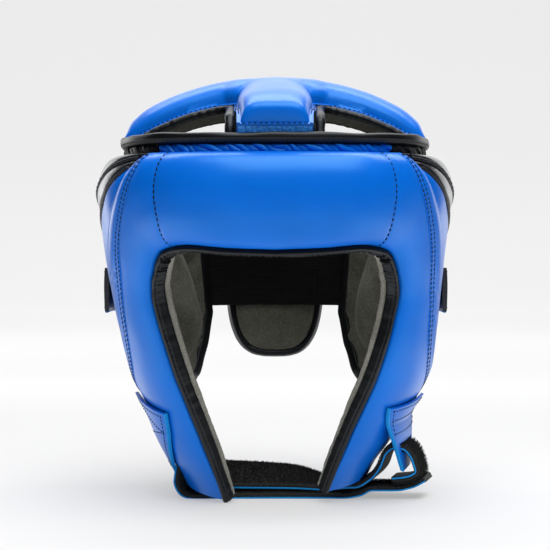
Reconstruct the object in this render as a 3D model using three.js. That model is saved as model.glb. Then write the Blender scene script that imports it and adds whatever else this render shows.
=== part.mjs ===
// Open-face padded headgear for kickboxing, in millimetres, +Z up, with the face opening towards -Y.
// It stands on a floor at z 0, on its chin strap, with the tips of the cheeks just above the floor. The
// origin is on the floor under the middle of the headgear. "Left" is -X, the left as seen from the front.

import * as THREE from "three";

const { lerp, clamp, smoothstep, degToRad, radToDeg } = THREE.MathUtils;

// Driving dimensions

const GAP = 0.4; // clearance between pieces that touch
const LINING = 1.8; // suede lining, the inner skin of every pad
const LINING_AT_SEAM = 0.9; // the side lining thins towards the side seam
const PAD_FLOOR = 2.5; // where the foam of a pad starts, above the hollow for the head
const LEATHER = 2.2; // tabs and flaps of doubled leather
const PLAN_POWER = 2.6; // squareness of the hollow seen from above: 2 is an ellipse

// The hollow for the head at each height: half-width, how much further the right side is spread by its
// strap, reach to the front and to the rear, and how far it leans back, so that the cheeks run to the jaw
const HOLLOW = [
  { z: 0, half: 44, spread: 0, front: 53, rear: 60, lean: 16 },
  { z: 25, half: 49.5, spread: 0, front: 62, rear: 68, lean: 13 },
  { z: 45, half: 54.5, spread: 2.5, front: 70, rear: 75, lean: 10.5 },
  { z: 81, half: 64, spread: 6, front: 84, rear: 88, lean: 6 },
  { z: 124, half: 73, spread: 1.5, front: 95, rear: 99, lean: 2 },
  { z: 150, half: 76.5, spread: 0, front: 97.5, rear: 102, lean: 0.4 },
  { z: 180, half: 78.5, spread: 0, front: 98, rear: 102.5, lean: 0 },
  { z: 200, half: 77.8, spread: 0, front: 96.4, rear: 100.5, lean: 0 },
  { z: 216, half: 76, spread: 0, front: 94.4, rear: 98, lean: 0 },
];

// The front pad is an arch: station 0 is the middle of the brow, the last one the tip of a cheek.
// In is the edge at the face opening. Out is the top edge, then the side seam, then the cheek's rear edge.
const ARCH = [
  { s: 0, thetaIn: 0, zIn: 147.8, thetaOut: 0, zOut: 199, edgeIn: 8, edgeOut: 11, puff: 14 },
  { s: 1, thetaIn: 13.5, zIn: 148.6, thetaOut: 19, zOut: 199, edgeIn: 8, edgeOut: 11, puff: 14 },
  { s: 2, thetaIn: 25.5, zIn: 150.2, thetaOut: 36.5, zOut: 199, edgeIn: 8, edgeOut: 11.5, puff: 14 },
  { s: 3, thetaIn: 34.5, zIn: 147.5, thetaOut: 43, zOut: 184, edgeIn: 8.5, edgeOut: 17.5, puff: 9 },
  { s: 4, thetaIn: 39.8, zIn: 136, thetaOut: 55, zOut: 154, edgeIn: 9, edgeOut: 18, puff: 7 },
  { s: 5, thetaIn: 42.2, zIn: 122, thetaOut: 62, zOut: 123, edgeIn: 9, edgeOut: 17.5, puff: 6 },
  { s: 6, thetaIn: 37.8, zIn: 82, thetaOut: 69, zOut: 84, edgeIn: 9, edgeOut: 17, puff: 6 },
  { s: 7, thetaIn: 32.1, zIn: 44, thetaOut: 92, zOut: 50, edgeIn: 9, edgeOut: 9, puff: 5.5 },
  { s: 8, thetaIn: 27, zIn: 5, thetaOut: 80, zOut: 13, edgeIn: 7, edgeOut: 7, puff: 0 },
];
const ARCH_END = ARCH[ARCH.length - 1].s;
const SEAM_TOP = 2; // station where the side seam leaves the top edge
const SEAM_GAP_DEG = 1.7; // groove between the front pad and a side pad, as an angle round the head
const RIGHT_CHEEK_RAISE = 6; // the folded strap lifts the tip of the right cheek
const RAISE_BELOW = 100; // height under which the right cheek is raised

// The side pad: share t of the way from the side seam to the rear edge
const SIDE = [
  { t: 0, bottom: 74, lowPiping: 193, highPiping: 196.6 },
  { t: 0.04, bottom: 72, lowPiping: 184.5, highPiping: 195.2 },
  { t: 0.08, bottom: 70, lowPiping: 174.5, highPiping: 193.2 },
  { t: 0.22, bottom: 65, lowPiping: 162.5, highPiping: 179.5 },
  { t: 0.38, bottom: 63, lowPiping: 151, highPiping: 170 },
  { t: 0.62, bottom: 62, lowPiping: 134, highPiping: 158 },
  { t: 0.82, bottom: 68, lowPiping: 123, highPiping: 150.5 },
  { t: 0.94, bottom: 84, lowPiping: 118, highPiping: 148 },
  { t: 1, bottom: 104, lowPiping: 117, highPiping: 147 },
];
const SIDE_EDGE = { seam: 17.5, rear: 8, top: 11, bottom: 9 }; // thickness of the side pad at its four edges
// The full thickness of the side pad at each height: it swells over the temple and below the ear
const SIDE_FULL = [
  { z: 60, thick: 21 },
  { z: 76, thick: 20.5 },
  { z: 94, thick: 20 },
  { z: 106, thick: 20.5 },
  { z: 133, thick: 21 },
  { z: 165, thick: 22 },
  { z: 182, thick: 25 },
  { z: 200, thick: 25.5 },
];
const SIDE_THINS = 0.42; // share of the way to the rear edge where the side pad starts to thin
const REAR_EDGE = 153; // angle of the side pad's rear edge from the front

// The top edge of the front and side pads, all the way round
const RIM = [
  { theta: 0, z: 199 },
  { theta: 36.5, z: 199 },
  { theta: 95, z: 197 },
  { theta: REAR_EDGE, z: 191 },
];
const GATHERS = { height: 3.6, inner: 0.3, lift: 11.4, depth: 1.4, gap: 0.6, frontPleats: 21, sidePleats: 26 };
const RIM_BINDING = { height: 5.6, inner: 0.3, outer: 12.8 }; // rolled edge above the gathers
const FACE_BINDING = { clear: 0.7, wide: 4, low: -0.6, high: 11.8 };
// The binding of the free edges, and the shares of it that are the rear edge and the lower edge
const FREE_EDGE = { clear: 1.1, wide: 3, high: 6, rear: 10 / 32, under: 21 / 32, seam: 0.14, cheek: 6.7 };
const PANEL_GAP = 0.8; // groove between the panels of a side pad

// The cushion on the inside of the side pad, beside the ear and the cheekbone
const EAR_CUSHION = { theta: 84, z: 86, depth: 26, ahead: 17, behind: 34, above: 44, below: 30 };

// The crown: how far its underside drops from the apex, towards the front and rear and towards the sides
const CROWN_APEX = 232;
const CROWN_SPINE = [
  { y: -102, drop: 21.2 },
  { y: -85, drop: 11.5 },
  { y: -60, drop: 6 },
  { y: -30, drop: 1.5 },
  { y: 0, drop: 0 },
  { y: 30, drop: 4 },
  { y: 55, drop: 10 },
  { y: 75, drop: 18 },
  { y: 90, drop: 32 },
  { y: 99, drop: 47 },
];
const CROWN_ARM = [
  { x: 0, drop: 0, half: 34, thick: 11.8 },
  { x: 18, drop: 1.8, half: 33, thick: 11.8 },
  { x: 28, drop: 4, half: 26, thick: 11.8 },
  { x: 48, drop: 9.2, half: 23, thick: 11.6 },
  { x: 66, drop: 16.2, half: 21.5, thick: 11 },
  { x: 77, drop: 21.2, half: 20, thick: 9.4 },
  { x: 84, drop: 23.6, half: 17.5, thick: 6.2 },
  { x: 87, drop: 24.2, half: 15, thick: 2 },
];
const ARM_REACH = CROWN_ARM[CROWN_ARM.length - 1].x;
const ARM_MIDDLE = 5; // the arms cross the crown a little behind its middle
const TRUNK = { front: -102, rear: 99, half: 21 };
const CROWN_EDGE = 0.42; // thickness of the crown pad at its edges, as a share of the full thickness
const CROWN_CELLS = { arm: 7, trunk: 6, run: 6, chord: 6 };
const CROWN_LINING = { front: -90, reach: 73 };
const CROWN_LINING_CELLS = { arm: 5, trunk: 3, run: 5, chord: 3 };
const CROWN_FOAM = 3; // where the foam of the crown starts, above its lining's underside
const CROWN_BINDING = { radius: 2.1, tall: 3.2, lift: 3.4, back: 3.8, short: 4, reach: 71, corner: 0.46 };

// The rear: elastic between the side pads, with a padded flap outside it
const ELASTIC = { end: 155.7, bottom: 108, top: 157, lift: 0.8, thick: 1.8 };
const REAR_PAD = { half: 25.5, bottom: 80, top: 166, lift: 3.2, edge: 6, puff: 11.2, corner: 3.4, cells: 6 };
const REAR_BINDING = { clear: 0.5, wide: 3.2, proud: 1 };

// The closure straps run from the rear pad round the outside of the side pads
const CLOSURE = { bottom: 108, top: 134, front: 91, thick: 3, proud: 0.9, clear: 1.6, rearLift: 9 };

// The chin strap is a ribbon. At each point of its route: centre, width, and how it is tipped and turned
const STRAP_THICK = 3.4;
const LOWER_STRAP = [
  { x: -59.8, y: -12, z: 12.4, width: 30, tilt: 0, turn: -6 },
  { x: -59.4, y: -11, z: 7.4, width: 32, tilt: 0, turn: -6 },
  { x: -54.5, y: -8, z: 2.8, width: 36, tilt: 0, turn: -4 },
  { x: -46, y: -5, z: 1.7, width: 42, tilt: 0, turn: 0 },
  { x: 0, y: -4, z: 1.7, width: 43, tilt: 0, turn: 0 },
  { x: 38, y: -5, z: 1.7, width: 42, tilt: 0, turn: 0 },
  { x: 50, y: -8, z: 2.8, width: 36, tilt: 0, turn: 4 },
  { x: 59, y: -11, z: 6, width: 31, tilt: 0, turn: 8 },
  { x: 73, y: -13, z: 6.2, width: 30, tilt: 0, turn: 10 },
  { x: 83, y: -14, z: 8, width: 29, tilt: 0, turn: 12 },
  { x: 92, y: -15, z: 12.6, width: 27, tilt: 0, turn: 12 },
];
const UPPER_STRAP = [
  { x: -35, y: -6, z: 12.4, width: 32, tilt: 21, turn: 0 },
  { x: 10, y: -6.5, z: 10.8, width: 32, tilt: 16, turn: 0 },
  { x: 32, y: -8, z: 7.4, width: 30, tilt: 6, turn: 2 },
  { x: 47, y: -11, z: 7.1, width: 27, tilt: 0, turn: 6 },
  { x: 56.8, y: -16, z: 11.8, width: 24, tilt: 0, turn: 10 },
  { x: 63, y: -20, z: 19, width: 22, tilt: 0, turn: 14 },
  { x: 66.4, y: -24, z: 28, width: 19, tilt: 3, turn: 16 },
  { x: 71.5, y: -26.5, z: 32.4, width: 18.5, tilt: 7, turn: 17 },
  { x: 78, y: -27.5, z: 32.7, width: 18.5, tilt: 8, turn: 17 },
  { x: 84, y: -27, z: 29, width: 19, tilt: 5, turn: 17 },
  { x: 86.8, y: -25, z: 22.6, width: 20, tilt: 0, turn: 17 },
  { x: 86, y: -24, z: 16.8, width: 20, tilt: 0, turn: 16 },
  { x: 80, y: -22, z: 13, width: 21, tilt: 0, turn: 14 },
  { x: 70, y: -20, z: 11.6, width: 22, tilt: 0, turn: 12 },
];

// The leather tabs that hold the chin strap, on the outside of the cheeks. Each row, from top to bottom:
// station and share of the way to the cheek's rear edge, at the tab's front and rear, and how far it hangs
const CHIN_TAB = { cells: 8, proud: 0.9 };
const LEFT_TAB = [
  { front: 6.62, frontShare: 0.16, rear: 6.46, rearShare: 0.82, drop: 0 },
  { front: 6.8, frontShare: 0.18, rear: 6.64, rearShare: 0.84, drop: 0 },
  { front: 7, frontShare: 0.21, rear: 6.86, rearShare: 0.86, drop: 0 },
  { front: 7.2, frontShare: 0.27, rear: 7.08, rearShare: 0.88, drop: 0 },
  { front: 7.42, frontShare: 0.36, rear: 7.32, rearShare: 0.9, drop: 0 },
  { front: 7.6, frontShare: 0.47, rear: 7.52, rearShare: 0.92, drop: 0 },
  { front: 7.78, frontShare: 0.58, rear: 7.72, rearShare: 0.94, drop: 0 },
];
const RIGHT_TAB = [
  { front: 6.52, frontShare: 0.16, rear: 6.42, rearShare: 0.78, drop: 0 },
  { front: 6.66, frontShare: 0.18, rear: 6.58, rearShare: 0.78, drop: 0 },
  { front: 6.8, frontShare: 0.21, rear: 6.74, rearShare: 0.77, drop: 0 },
  { front: 6.8, frontShare: 0.25, rear: 6.74, rearShare: 0.74, drop: 7 },
  { front: 6.8, frontShare: 0.29, rear: 6.74, rearShare: 0.71, drop: 12.8 },
  { front: 6.8, frontShare: 0.33, rear: 6.74, rearShare: 0.68, drop: 18.6 },
  { front: 6.8, frontShare: 0.37, rear: 6.74, rearShare: 0.64, drop: 24 },
  { front: 6.8, frontShare: 0.42, rear: 6.74, rearShare: 0.59, drop: 29.5 },
];
const TAB_SLOT = { row: 4, first: 1, last: 6 }; // cells of the right tab that are cut out

// The leather ends that join the crown to the brow and to the rear pad: middle and half angle, heights
const CROWN_TABS = {
  front: { middle: 0, half: 13, bottom: 186, top: 213.5 },
  rear: { middle: 180, half: 9, bottom: 160, top: 181 },
};
const CROWN_TAB_CLEAR = 1.2;

// How finely each kind of piece is cut
const STEPS = { arch: 64, side: 12, rim: 32, edge: 32, crownEdge: 12, strap: 30 };

// Finishes

const finish = (color, roughness) => new THREE.MeshStandardMaterial({ color, roughness, metalness: 0 });
const BLUE_LEATHER = finish(0x0a59c4, 0.38);
const BLACK_LEATHER = finish(0x17181b, 0.34);
const BLACK_BINDING = finish(0x1c1d20, 0.5);
const SUEDE = finish(0x4a4a43, 0.95);
const BLACK_ELASTIC = finish(0x0c0d0d, 0.9);
const STRAP_PILE = finish(0x111212, 0.95);

// Tables and surfaces

// One named column of a table at any key, on a smooth curve through the rows that never overshoots
function column(rows, key, name, at) {
  const last = rows.length - 1;
  const rate = (k) => (rows[k + 1][name] - rows[k][name]) / (rows[k + 1][key] - rows[k][key]);
  const slope = (k) => {
    const before = rate(Math.max(k - 1, 0));
    const after = rate(Math.min(k, last - 1));
    return before * after > 0 ? (2 * before * after) / (before + after) : 0;
  };
  let i = 0;
  while (i < last - 1 && at > rows[i + 1][key]) i++;
  const span = rows[i + 1][key] - rows[i][key];
  const t = clamp((at - rows[i][key]) / span, 0, 1);
  const rise = rows[i + 1][name] - rows[i][name];
  const startBend = slope(i) * span - rise;
  const endBend = rise - slope(i + 1) * span;
  return rows[i][name] + rise * t + t * (1 - t) * (startBend * (1 - t) + endBend * t);
}

function hollowPoint(theta, z) {
  const side = Math.sin(degToRad(theta));
  const ahead = Math.cos(degToRad(theta));
  const half = column(HOLLOW, "z", "half", z) + (side > 0 ? column(HOLLOW, "z", "spread", z) : 0);
  const reach = column(HOLLOW, "z", ahead > 0 ? "front" : "rear", z);
  const power = Math.abs(side / half) ** PLAN_POWER + Math.abs(ahead / reach) ** PLAN_POWER;
  const radius = power ** (-1 / PLAN_POWER);
  return new THREE.Vector3(radius * side, column(HOLLOW, "z", "lean", z) - radius * ahead, z);
}

// The way out of the hollow at an angle and height
function hollowOut(theta, z) {
  const step = 0.5;
  const around = hollowPoint(theta + step, z).sub(hollowPoint(theta - step, z));
  const up = hollowPoint(theta, z + step).sub(hollowPoint(theta, z - step));
  return around.cross(up).normalize();
}

const skin = (theta, z, lift) => hollowPoint(theta, z).addScaledVector(hollowOut(theta, z), lift);

// A rounded swell, 0 at both ends of a span and 1 in its middle
const pillow = (share, fullness) => (1 - Math.abs(2 * clamp(share, 0, 1) - 1) ** fullness) ** (1 / 2);

const rim = (theta) => column(RIM, "theta", "z", Math.abs(theta));

function archPlace(s, u) {
  const at = Math.abs(s);
  const theta = lerp(column(ARCH, "s", "thetaIn", at), column(ARCH, "s", "thetaOut", at), u);
  const z = lerp(column(ARCH, "s", "zIn", at), column(ARCH, "s", "zOut", at), u);
  const share = s > 0 ? clamp(1 - z / RAISE_BELOW, 0, 1) : 0;
  return { theta: Math.sign(s) * theta, z: z + RIGHT_CHEEK_RAISE * share ** 2 };
}

function archThickness(s, u) {
  const at = Math.abs(s);
  const edge = lerp(column(ARCH, "s", "edgeIn", at), column(ARCH, "s", "edgeOut", at), u);
  return edge + Math.max(0, column(ARCH, "s", "puff", at)) * pillow(u, 2.4);
}

function seamTheta(z) {
  let low = SEAM_TOP;
  let high = ARCH_END - 1;
  for (let i = 0; i < 30; i++) {
    const middle = (low + high) / 2;
    if (column(ARCH, "s", "zOut", middle) > z) low = middle;
    else high = middle;
  }
  return column(ARCH, "s", "thetaOut", low);
}

const sideTop = (t) => rim(lerp(RIM[1].theta, REAR_EDGE, t));
const sideBottom = (t) => column(SIDE, "t", "bottom", t);

function sidePlace(side, t, z) {
  return { theta: side * lerp(seamTheta(z) + SEAM_GAP_DEG, REAR_EDGE, t), z };
}

function sideThickness(t, z) {
  const v = (z - sideBottom(t)) / (sideTop(t) - sideBottom(t));
  const full = column(SIDE_FULL, "z", "thick", z);
  const fromSeam = lerp(SIDE_EDGE.seam, full, pillow(Math.min(t * 2, 0.5), 2));
  const thinning = Math.max(0, t - SIDE_THINS) / (1 - SIDE_THINS);
  const atRear = lerp(SIDE_EDGE.rear, fromSeam, pillow(0.5 + thinning / 2, 1.8));
  const edge = v > 0.5 ? SIDE_EDGE.top : SIDE_EDGE.bottom;
  return lerp(Math.min(edge, atRear), atRear, pillow(v, 5));
}

// Solids

// A closed mesh from points and triangles, turned the right way out
function closedGeometry(points, triangles) {
  let volume = 0;
  for (const [a, b, c] of triangles) volume += points[a].dot(points[b].clone().cross(points[c]));
  const index = triangles.flatMap(([a, b, c]) => (volume < 0 ? [a, c, b] : [a, b, c]));
  return new THREE.BufferGeometry().setFromPoints(points).setIndex(index);
}

// A slab between an inner sheet (face 0) and an outer one (face 1), with walls round every open edge.
// Cells that are not filled leave a notch or a hole
function slab(rows, columns, pointAt, filled = () => true) {
  const points = [];
  const triangles = [];
  const known = new Map();
  const isFilled = (i, j) => i >= 0 && j >= 0 && i < rows && j < columns && filled(i, j);
  const vertex = (i, j, face) => {
    const key = `${i} ${j} ${face}`;
    if (!known.has(key)) {
      known.set(key, points.length);
      points.push(pointAt(i / rows, j / columns, face));
    }
    return known.get(key);
  };
  const quad = (a, b, c, d) => triangles.push([a, b, c], [a, c, d]);
  for (let i = 0; i < rows; i++)
    for (let j = 0; j < columns; j++) {
      if (!isFilled(i, j)) continue;
      const corners = [
        [i, j],
        [i, j + 1],
        [i + 1, j + 1],
        [i + 1, j],
      ];
      const inner = corners.map(([a, b]) => vertex(a, b, 0));
      const outer = corners.map(([a, b]) => vertex(a, b, 1));
      quad(...inner);
      quad(...outer.slice().reverse());
      const neighbours = [
        [i - 1, j],
        [i, j + 1],
        [i + 1, j],
        [i, j - 1],
      ];
      neighbours.forEach(([a, b], e) => {
        const next = (e + 1) % 4;
        if (!isFilled(a, b)) quad(inner[next], inner[e], outer[e], outer[next]);
      });
    }
  return closedGeometry(points, triangles);
}

// A section swept along a route. The route gives a place and two directions, away and out
function sweep(steps, section, routeAt, closed = false) {
  const points = [];
  const triangles = [];
  const sides = section.length;
  const rings = closed ? steps : steps + 1;
  for (let i = 0; i < rings; i++) {
    const { at, away, out } = routeAt(i / steps);
    for (const [a, o] of section) points.push(at.clone().addScaledVector(away, a).addScaledVector(out, o));
  }
  for (let i = 0; i < steps; i++)
    for (let j = 0; j < sides; j++) {
      const next = ((i + 1) % rings) * sides;
      const a = i * sides + j;
      const b = i * sides + ((j + 1) % sides);
      const c = next + ((j + 1) % sides);
      triangles.push([a, b, c], [a, c, next + j]);
    }
  if (!closed)
    for (let j = 1; j < sides - 1; j++) {
      const last = (rings - 1) * sides;
      triangles.push([0, j + 1, j], [last, last + j, last + j + 1]);
    }
  return closedGeometry(points, triangles);
}

// A rounded bar as a section: from near to far along away, and from low to high along out
function bar(near, far, low, high) {
  const bevel = Math.min(far - near, high - low) * 0.3;
  return [
    [near, low],
    [far - bevel, low],
    [far, low + bevel],
    [far, high - bevel],
    [far - bevel, high],
    [near, high],
  ];
}

// A route along an edge of a pad, given as angle and height at each share of the way
function edgeRoute(placeAt, flip) {
  const pointAt = (share) => {
    const { theta, z } = placeAt(clamp(share, 0, 1));
    return hollowPoint(theta, z);
  };
  return (k) => {
    const step = 0.004;
    const { theta, z } = placeAt(k);
    const out = hollowOut(theta, z);
    const along = pointAt(k + step).sub(pointAt(k - step));
    return { at: pointAt(k), out, away: along.cross(out).multiplyScalar(flip).normalize() };
  };
}

const headgear = new THREE.Group();

function add(name, geometry, material) {
  const mesh = new THREE.Mesh(geometry, material);
  mesh.name = name;
  headgear.add(mesh);
}

const SIDES = [
  { name: "left", side: -1 },
  { name: "right", side: 1 },
];

// Front pad: brow and both cheeks in one arch, with its lining

add(
  "front_pad",
  slab(STEPS.arch, 5, (k, u, face) => {
    const s = lerp(-ARCH_END, ARCH_END, k);
    const { theta, z } = archPlace(s, u);
    return skin(theta, z, PAD_FLOOR + face * archThickness(s, u));
  }),
  BLUE_LEATHER,
);

add(
  "front_lining",
  slab(STEPS.arch, 2, (k, u, face) => {
    const { theta, z } = archPlace(lerp(-ARCH_END, ARCH_END, k), u);
    return skin(theta, z, face * LINING);
  }),
  SUEDE,
);

// Side pads: a blue panel below two black ones, with a cushioned lining

function sidePanel(side, lower, upper, rows) {
  return slab(STEPS.side, rows, (t, v, face) => {
    const z = lerp(lower(t), upper(t), v);
    const place = sidePlace(side, t, z);
    return skin(place.theta, z, PAD_FLOOR + face * sideThickness(t, z));
  });
}

function earCushion(theta, z) {
  const fall = (away, low, high) => Math.exp(-((away / (away < 0 ? low : high)) ** 2));
  const round = fall(theta - EAR_CUSHION.theta, EAR_CUSHION.ahead, EAR_CUSHION.behind);
  return EAR_CUSHION.depth * round * fall(z - EAR_CUSHION.z, EAR_CUSHION.below, EAR_CUSHION.above);
}

const lowPiping = (t) => column(SIDE, "t", "lowPiping", t);
const highPiping = (t) => column(SIDE, "t", "highPiping", t);
const above = (curve) => (t) => curve(t) + PANEL_GAP / 2;
const below = (curve) => (t) => curve(t) - PANEL_GAP / 2;

for (const { name, side } of SIDES) {
  add(`side_panel_${name}`, sidePanel(side, sideBottom, below(lowPiping), 6), BLUE_LEATHER);
  add(`side_stripe_${name}`, sidePanel(side, above(lowPiping), below(highPiping), 2), BLACK_LEATHER);
  add(`side_cap_${name}`, sidePanel(side, above(highPiping), sideTop, 3), BLACK_LEATHER);
  const lining = slab(STEPS.side, 7, (t, v, face) => {
    const z = lerp(sideBottom(t), sideTop(t), v);
    const { theta } = sidePlace(side, t, z);
    const inwards = pillow(v, 4) * pillow(Math.min(0.5, t * 1.6), 2) * earCushion(Math.abs(theta), z);
    const outwards = lerp(LINING_AT_SEAM, LINING, smoothstep(t, 0, 0.25));
    return skin(theta, z, face ? outwards : -inwards);
  });
  add(`side_lining_${name}`, lining, SUEDE);
}

// Gathered strip and rolled binding along the top edge

function gathers(from, to, pleats) {
  const folds = 2 * pleats;
  return slab(folds, 1, (k, v, face) => {
    const theta = lerp(from, to, k);
    const fold = Math.round(k * folds) % 2 ? 0 : GATHERS.depth;
    const lift = face ? GATHERS.lift - fold : GATHERS.inner;
    return skin(theta, rim(theta) + GATHERS.gap + v * GATHERS.height, lift);
  });
}

const RIM_SEAM = RIM[1].theta;
const RIM_END = REAR_EDGE - 0.5;
add("gathers_front", gathers(-RIM_SEAM, RIM_SEAM, GATHERS.frontPleats), BLUE_LEATHER);
for (const { name, side } of SIDES) {
  const band = gathers(side * (RIM_SEAM + GATHERS.gap), side * RIM_END, GATHERS.sidePleats);
  add(`gathers_${name}`, band, BLACK_LEATHER);
}

function rimRoute(k) {
  const theta = lerp(-RIM_END, RIM_END, k);
  const z = rim(theta) + GATHERS.height + 2 * GATHERS.gap;
  return { at: hollowPoint(theta, z), out: hollowOut(theta, z), away: new THREE.Vector3(0, 0, 1) };
}

const rimSection = bar(0, RIM_BINDING.height, RIM_BINDING.inner, RIM_BINDING.outer);
add("top_binding", sweep(STEPS.rim, rimSection, rimRoute), BLACK_BINDING);

// Bindings of the face opening and of the free rear and lower edges

const faceEdge = (k) => archPlace(lerp(-ARCH_END, ARCH_END, k), 0);
const faceSection = bar(
  FACE_BINDING.clear,
  FACE_BINDING.clear + FACE_BINDING.wide,
  FACE_BINDING.low,
  FACE_BINDING.high,
);
add("face_binding", sweep(STEPS.arch, faceSection, edgeRoute(faceEdge, 1)), BLACK_BINDING);

// The free edge runs down the rear of the side pad, along its lower edge, then down the cheek
function freeEdge(side) {
  return (k) => {
    if (k < FREE_EDGE.rear) {
      const z = lerp(sideTop(1), sideBottom(1), k / FREE_EDGE.rear);
      return { theta: side * REAR_EDGE, z };
    }
    if (k < FREE_EDGE.under) {
      const t = lerp(1, FREE_EDGE.seam, (k - FREE_EDGE.rear) / (FREE_EDGE.under - FREE_EDGE.rear));
      return sidePlace(side, t, sideBottom(t));
    }
    const s = lerp(FREE_EDGE.cheek, ARCH_END, (k - FREE_EDGE.under) / (1 - FREE_EDGE.under));
    return archPlace(side * s, 1);
  };
}

const freeSection = bar(FREE_EDGE.clear, FREE_EDGE.clear + FREE_EDGE.wide, 0, FREE_EDGE.high);
for (const { name, side } of SIDES) {
  const binding = sweep(STEPS.edge, freeSection, edgeRoute(freeEdge(side), -side));
  add(`edge_binding_${name}`, binding, BLACK_BINDING);
}

// Crown: a trunk from front to rear and an arm to each side, made as one cross

const crownHeight = (x, y) =>
  CROWN_APEX - column(CROWN_ARM, "x", "drop", Math.abs(x)) - column(CROWN_SPINE, "y", "drop", y);

function crownOut(x, y) {
  const step = 0.5;
  const slopeX = (crownHeight(x + step, y) - crownHeight(x - step, y)) / (2 * step);
  const slopeY = (crownHeight(x, y + step) - crownHeight(x, y - step)) / (2 * step);
  return new THREE.Vector3(-slopeX, -slopeY, 1).normalize();
}

const crownSkin = (x, y, lift) =>
  new THREE.Vector3(x, y, crownHeight(x, y)).addScaledVector(crownOut(x, y), lift);

const armHalf = (x) => column(CROWN_ARM, "x", "half", Math.abs(x));
const armThick = (x) => column(CROWN_ARM, "x", "thick", Math.abs(x));

// The cross is cut from a grid: `arm` cells out to each side, `trunk` cells across, `run` cells ahead of
// and behind the arms, and `chord` cells across an arm
function crownCross({ arm, trunk, run, chord }, front, reach, liftAt) {
  const columns = 2 * arm + trunk;
  const rows = 2 * run + chord;
  const place = (i, j) => {
    const over = Math.max(arm - j, j - arm - trunk, 0) / arm;
    const sideways = Math.sign(j - columns / 2);
    const inTrunk = lerp(-TRUNK.half, TRUNK.half, (j - arm) / trunk);
    const x = over > 0 ? sideways * lerp(TRUNK.half, reach, over) : inTrunk;
    const half = armHalf(x);
    if (i < run) return { x, y: lerp(front, ARM_MIDDLE - half, i / run) };
    if (i > run + chord) return { x, y: lerp(ARM_MIDDLE + half, TRUNK.rear, (i - run - chord) / run) };
    return { x, y: ARM_MIDDLE + lerp(-half, half, (i - run) / chord) };
  };
  const pointAt = (k, m, face) => {
    const { x, y } = place(Math.round(k * rows), Math.round(m * columns));
    return crownSkin(x, y, liftAt(x, y, face));
  };
  const inArms = (i) => i >= run && i < run + chord;
  const filled = (i, j) => inArms(i) || (j >= arm && j < arm + trunk);
  return slab(rows, columns, pointAt, filled);
}

// The swell of the crown pad: low at its edges, full along the middle of the trunk and of the arms
function crownThickness(x, y) {
  const acrossTrunk = pillow((x + TRUNK.half) / (2 * TRUNK.half), 2.6);
  const acrossArm = pillow((y - ARM_MIDDLE + armHalf(x)) / (2 * armHalf(x)), 2.6);
  const ends = pillow((y - TRUNK.front) / (TRUNK.rear - TRUNK.front), 14);
  const swell = Math.max(acrossTrunk * lerp(0.55, 1, ends), acrossArm);
  return armThick(x) * lerp(CROWN_EDGE, 1, swell);
}

add(
  "crown_pad",
  crownCross(CROWN_CELLS, TRUNK.front, ARM_REACH, (x, y, face) => CROWN_FOAM + face * crownThickness(x, y)),
  BLUE_LEATHER,
);
add(
  "crown_lining",
  crownCross(CROWN_LINING_CELLS, CROWN_LINING.front, CROWN_LINING.reach, (x, y, face) => face * LINING),
  SUEDE,
);

// Crown bindings: one round each of the four inside corners of the cross

function crownEdge(side, ahead) {
  const start = ahead < 0 ? CROWN_LINING.front : TRUNK.rear - CROWN_BINDING.short;
  const trunkEdge = TRUNK.half + CROWN_BINDING.back;
  const armEdge = (x) => ARM_MIDDLE + ahead * (armHalf(x) + CROWN_BINDING.back);
  return (k) => {
    const beyond = clamp((k - CROWN_BINDING.corner) / (1 - CROWN_BINDING.corner), 0, 1);
    const x = lerp(trunkEdge, CROWN_BINDING.reach, beyond);
    const y = beyond > 0 ? armEdge(x) : lerp(start, armEdge(trunkEdge), k / CROWN_BINDING.corner);
    return { x: side * x, y };
  };
}

const crownSection = Array.from({ length: 6 }, (_, j) => {
  const turn = (2 * Math.PI * j) / 6;
  const { radius, lift, tall } = CROWN_BINDING;
  return [radius * Math.cos(turn), lift + tall * Math.sin(turn)];
});

for (const { name, side } of SIDES)
  for (const [place, ahead] of Object.entries({ front: -1, rear: 1 })) {
    const edgeAt = crownEdge(side, ahead);
    const pointAt = (k) => {
      const { x, y } = edgeAt(clamp(k, 0, 1));
      return crownSkin(x, y, 0);
    };
    const route = (k) => {
      const { x, y } = edgeAt(k);
      const out = crownOut(x, y);
      const along = pointAt(k + 0.02).sub(pointAt(k - 0.02));
      return { at: pointAt(k), out, away: along.cross(out).normalize() };
    };
    add(`crown_binding_${place}_${name}`, sweep(STEPS.crownEdge, crownSection, route), BLACK_BINDING);
  }

// Leather ends that join the crown to the inside of the brow and to the inside of the rear pad

for (const [place, { middle, half, bottom, top }] of Object.entries(CROWN_TABS)) {
  const tab = slab(6, 2, (k, v, face) => {
    const theta = middle + lerp(-half, half, k);
    return skin(theta, lerp(bottom, top, v), face * LEATHER - LEATHER - CROWN_TAB_CLEAR);
  });
  add(`crown_tab_${place}`, tab, BLUE_LEATHER);
}

// Rear: elastic band, and the padded flap outside it with its lining and binding

add(
  "rear_elastic",
  slab(14, 2, (k, v, face) => {
    const theta = lerp(ELASTIC.end, 360 - ELASTIC.end, k);
    return skin(theta, lerp(ELASTIC.bottom, ELASTIC.top, v), ELASTIC.lift + face * ELASTIC.thick);
  }),
  BLACK_ELASTIC,
);

const REAR_MIDDLE = (REAR_PAD.bottom + REAR_PAD.top) / 2;
const REAR_RADIUS = column(HOLLOW, "z", "rear", REAR_MIDDLE);
const rearAngle = (across) => 180 - radToDeg(across / REAR_RADIUS);

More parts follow.
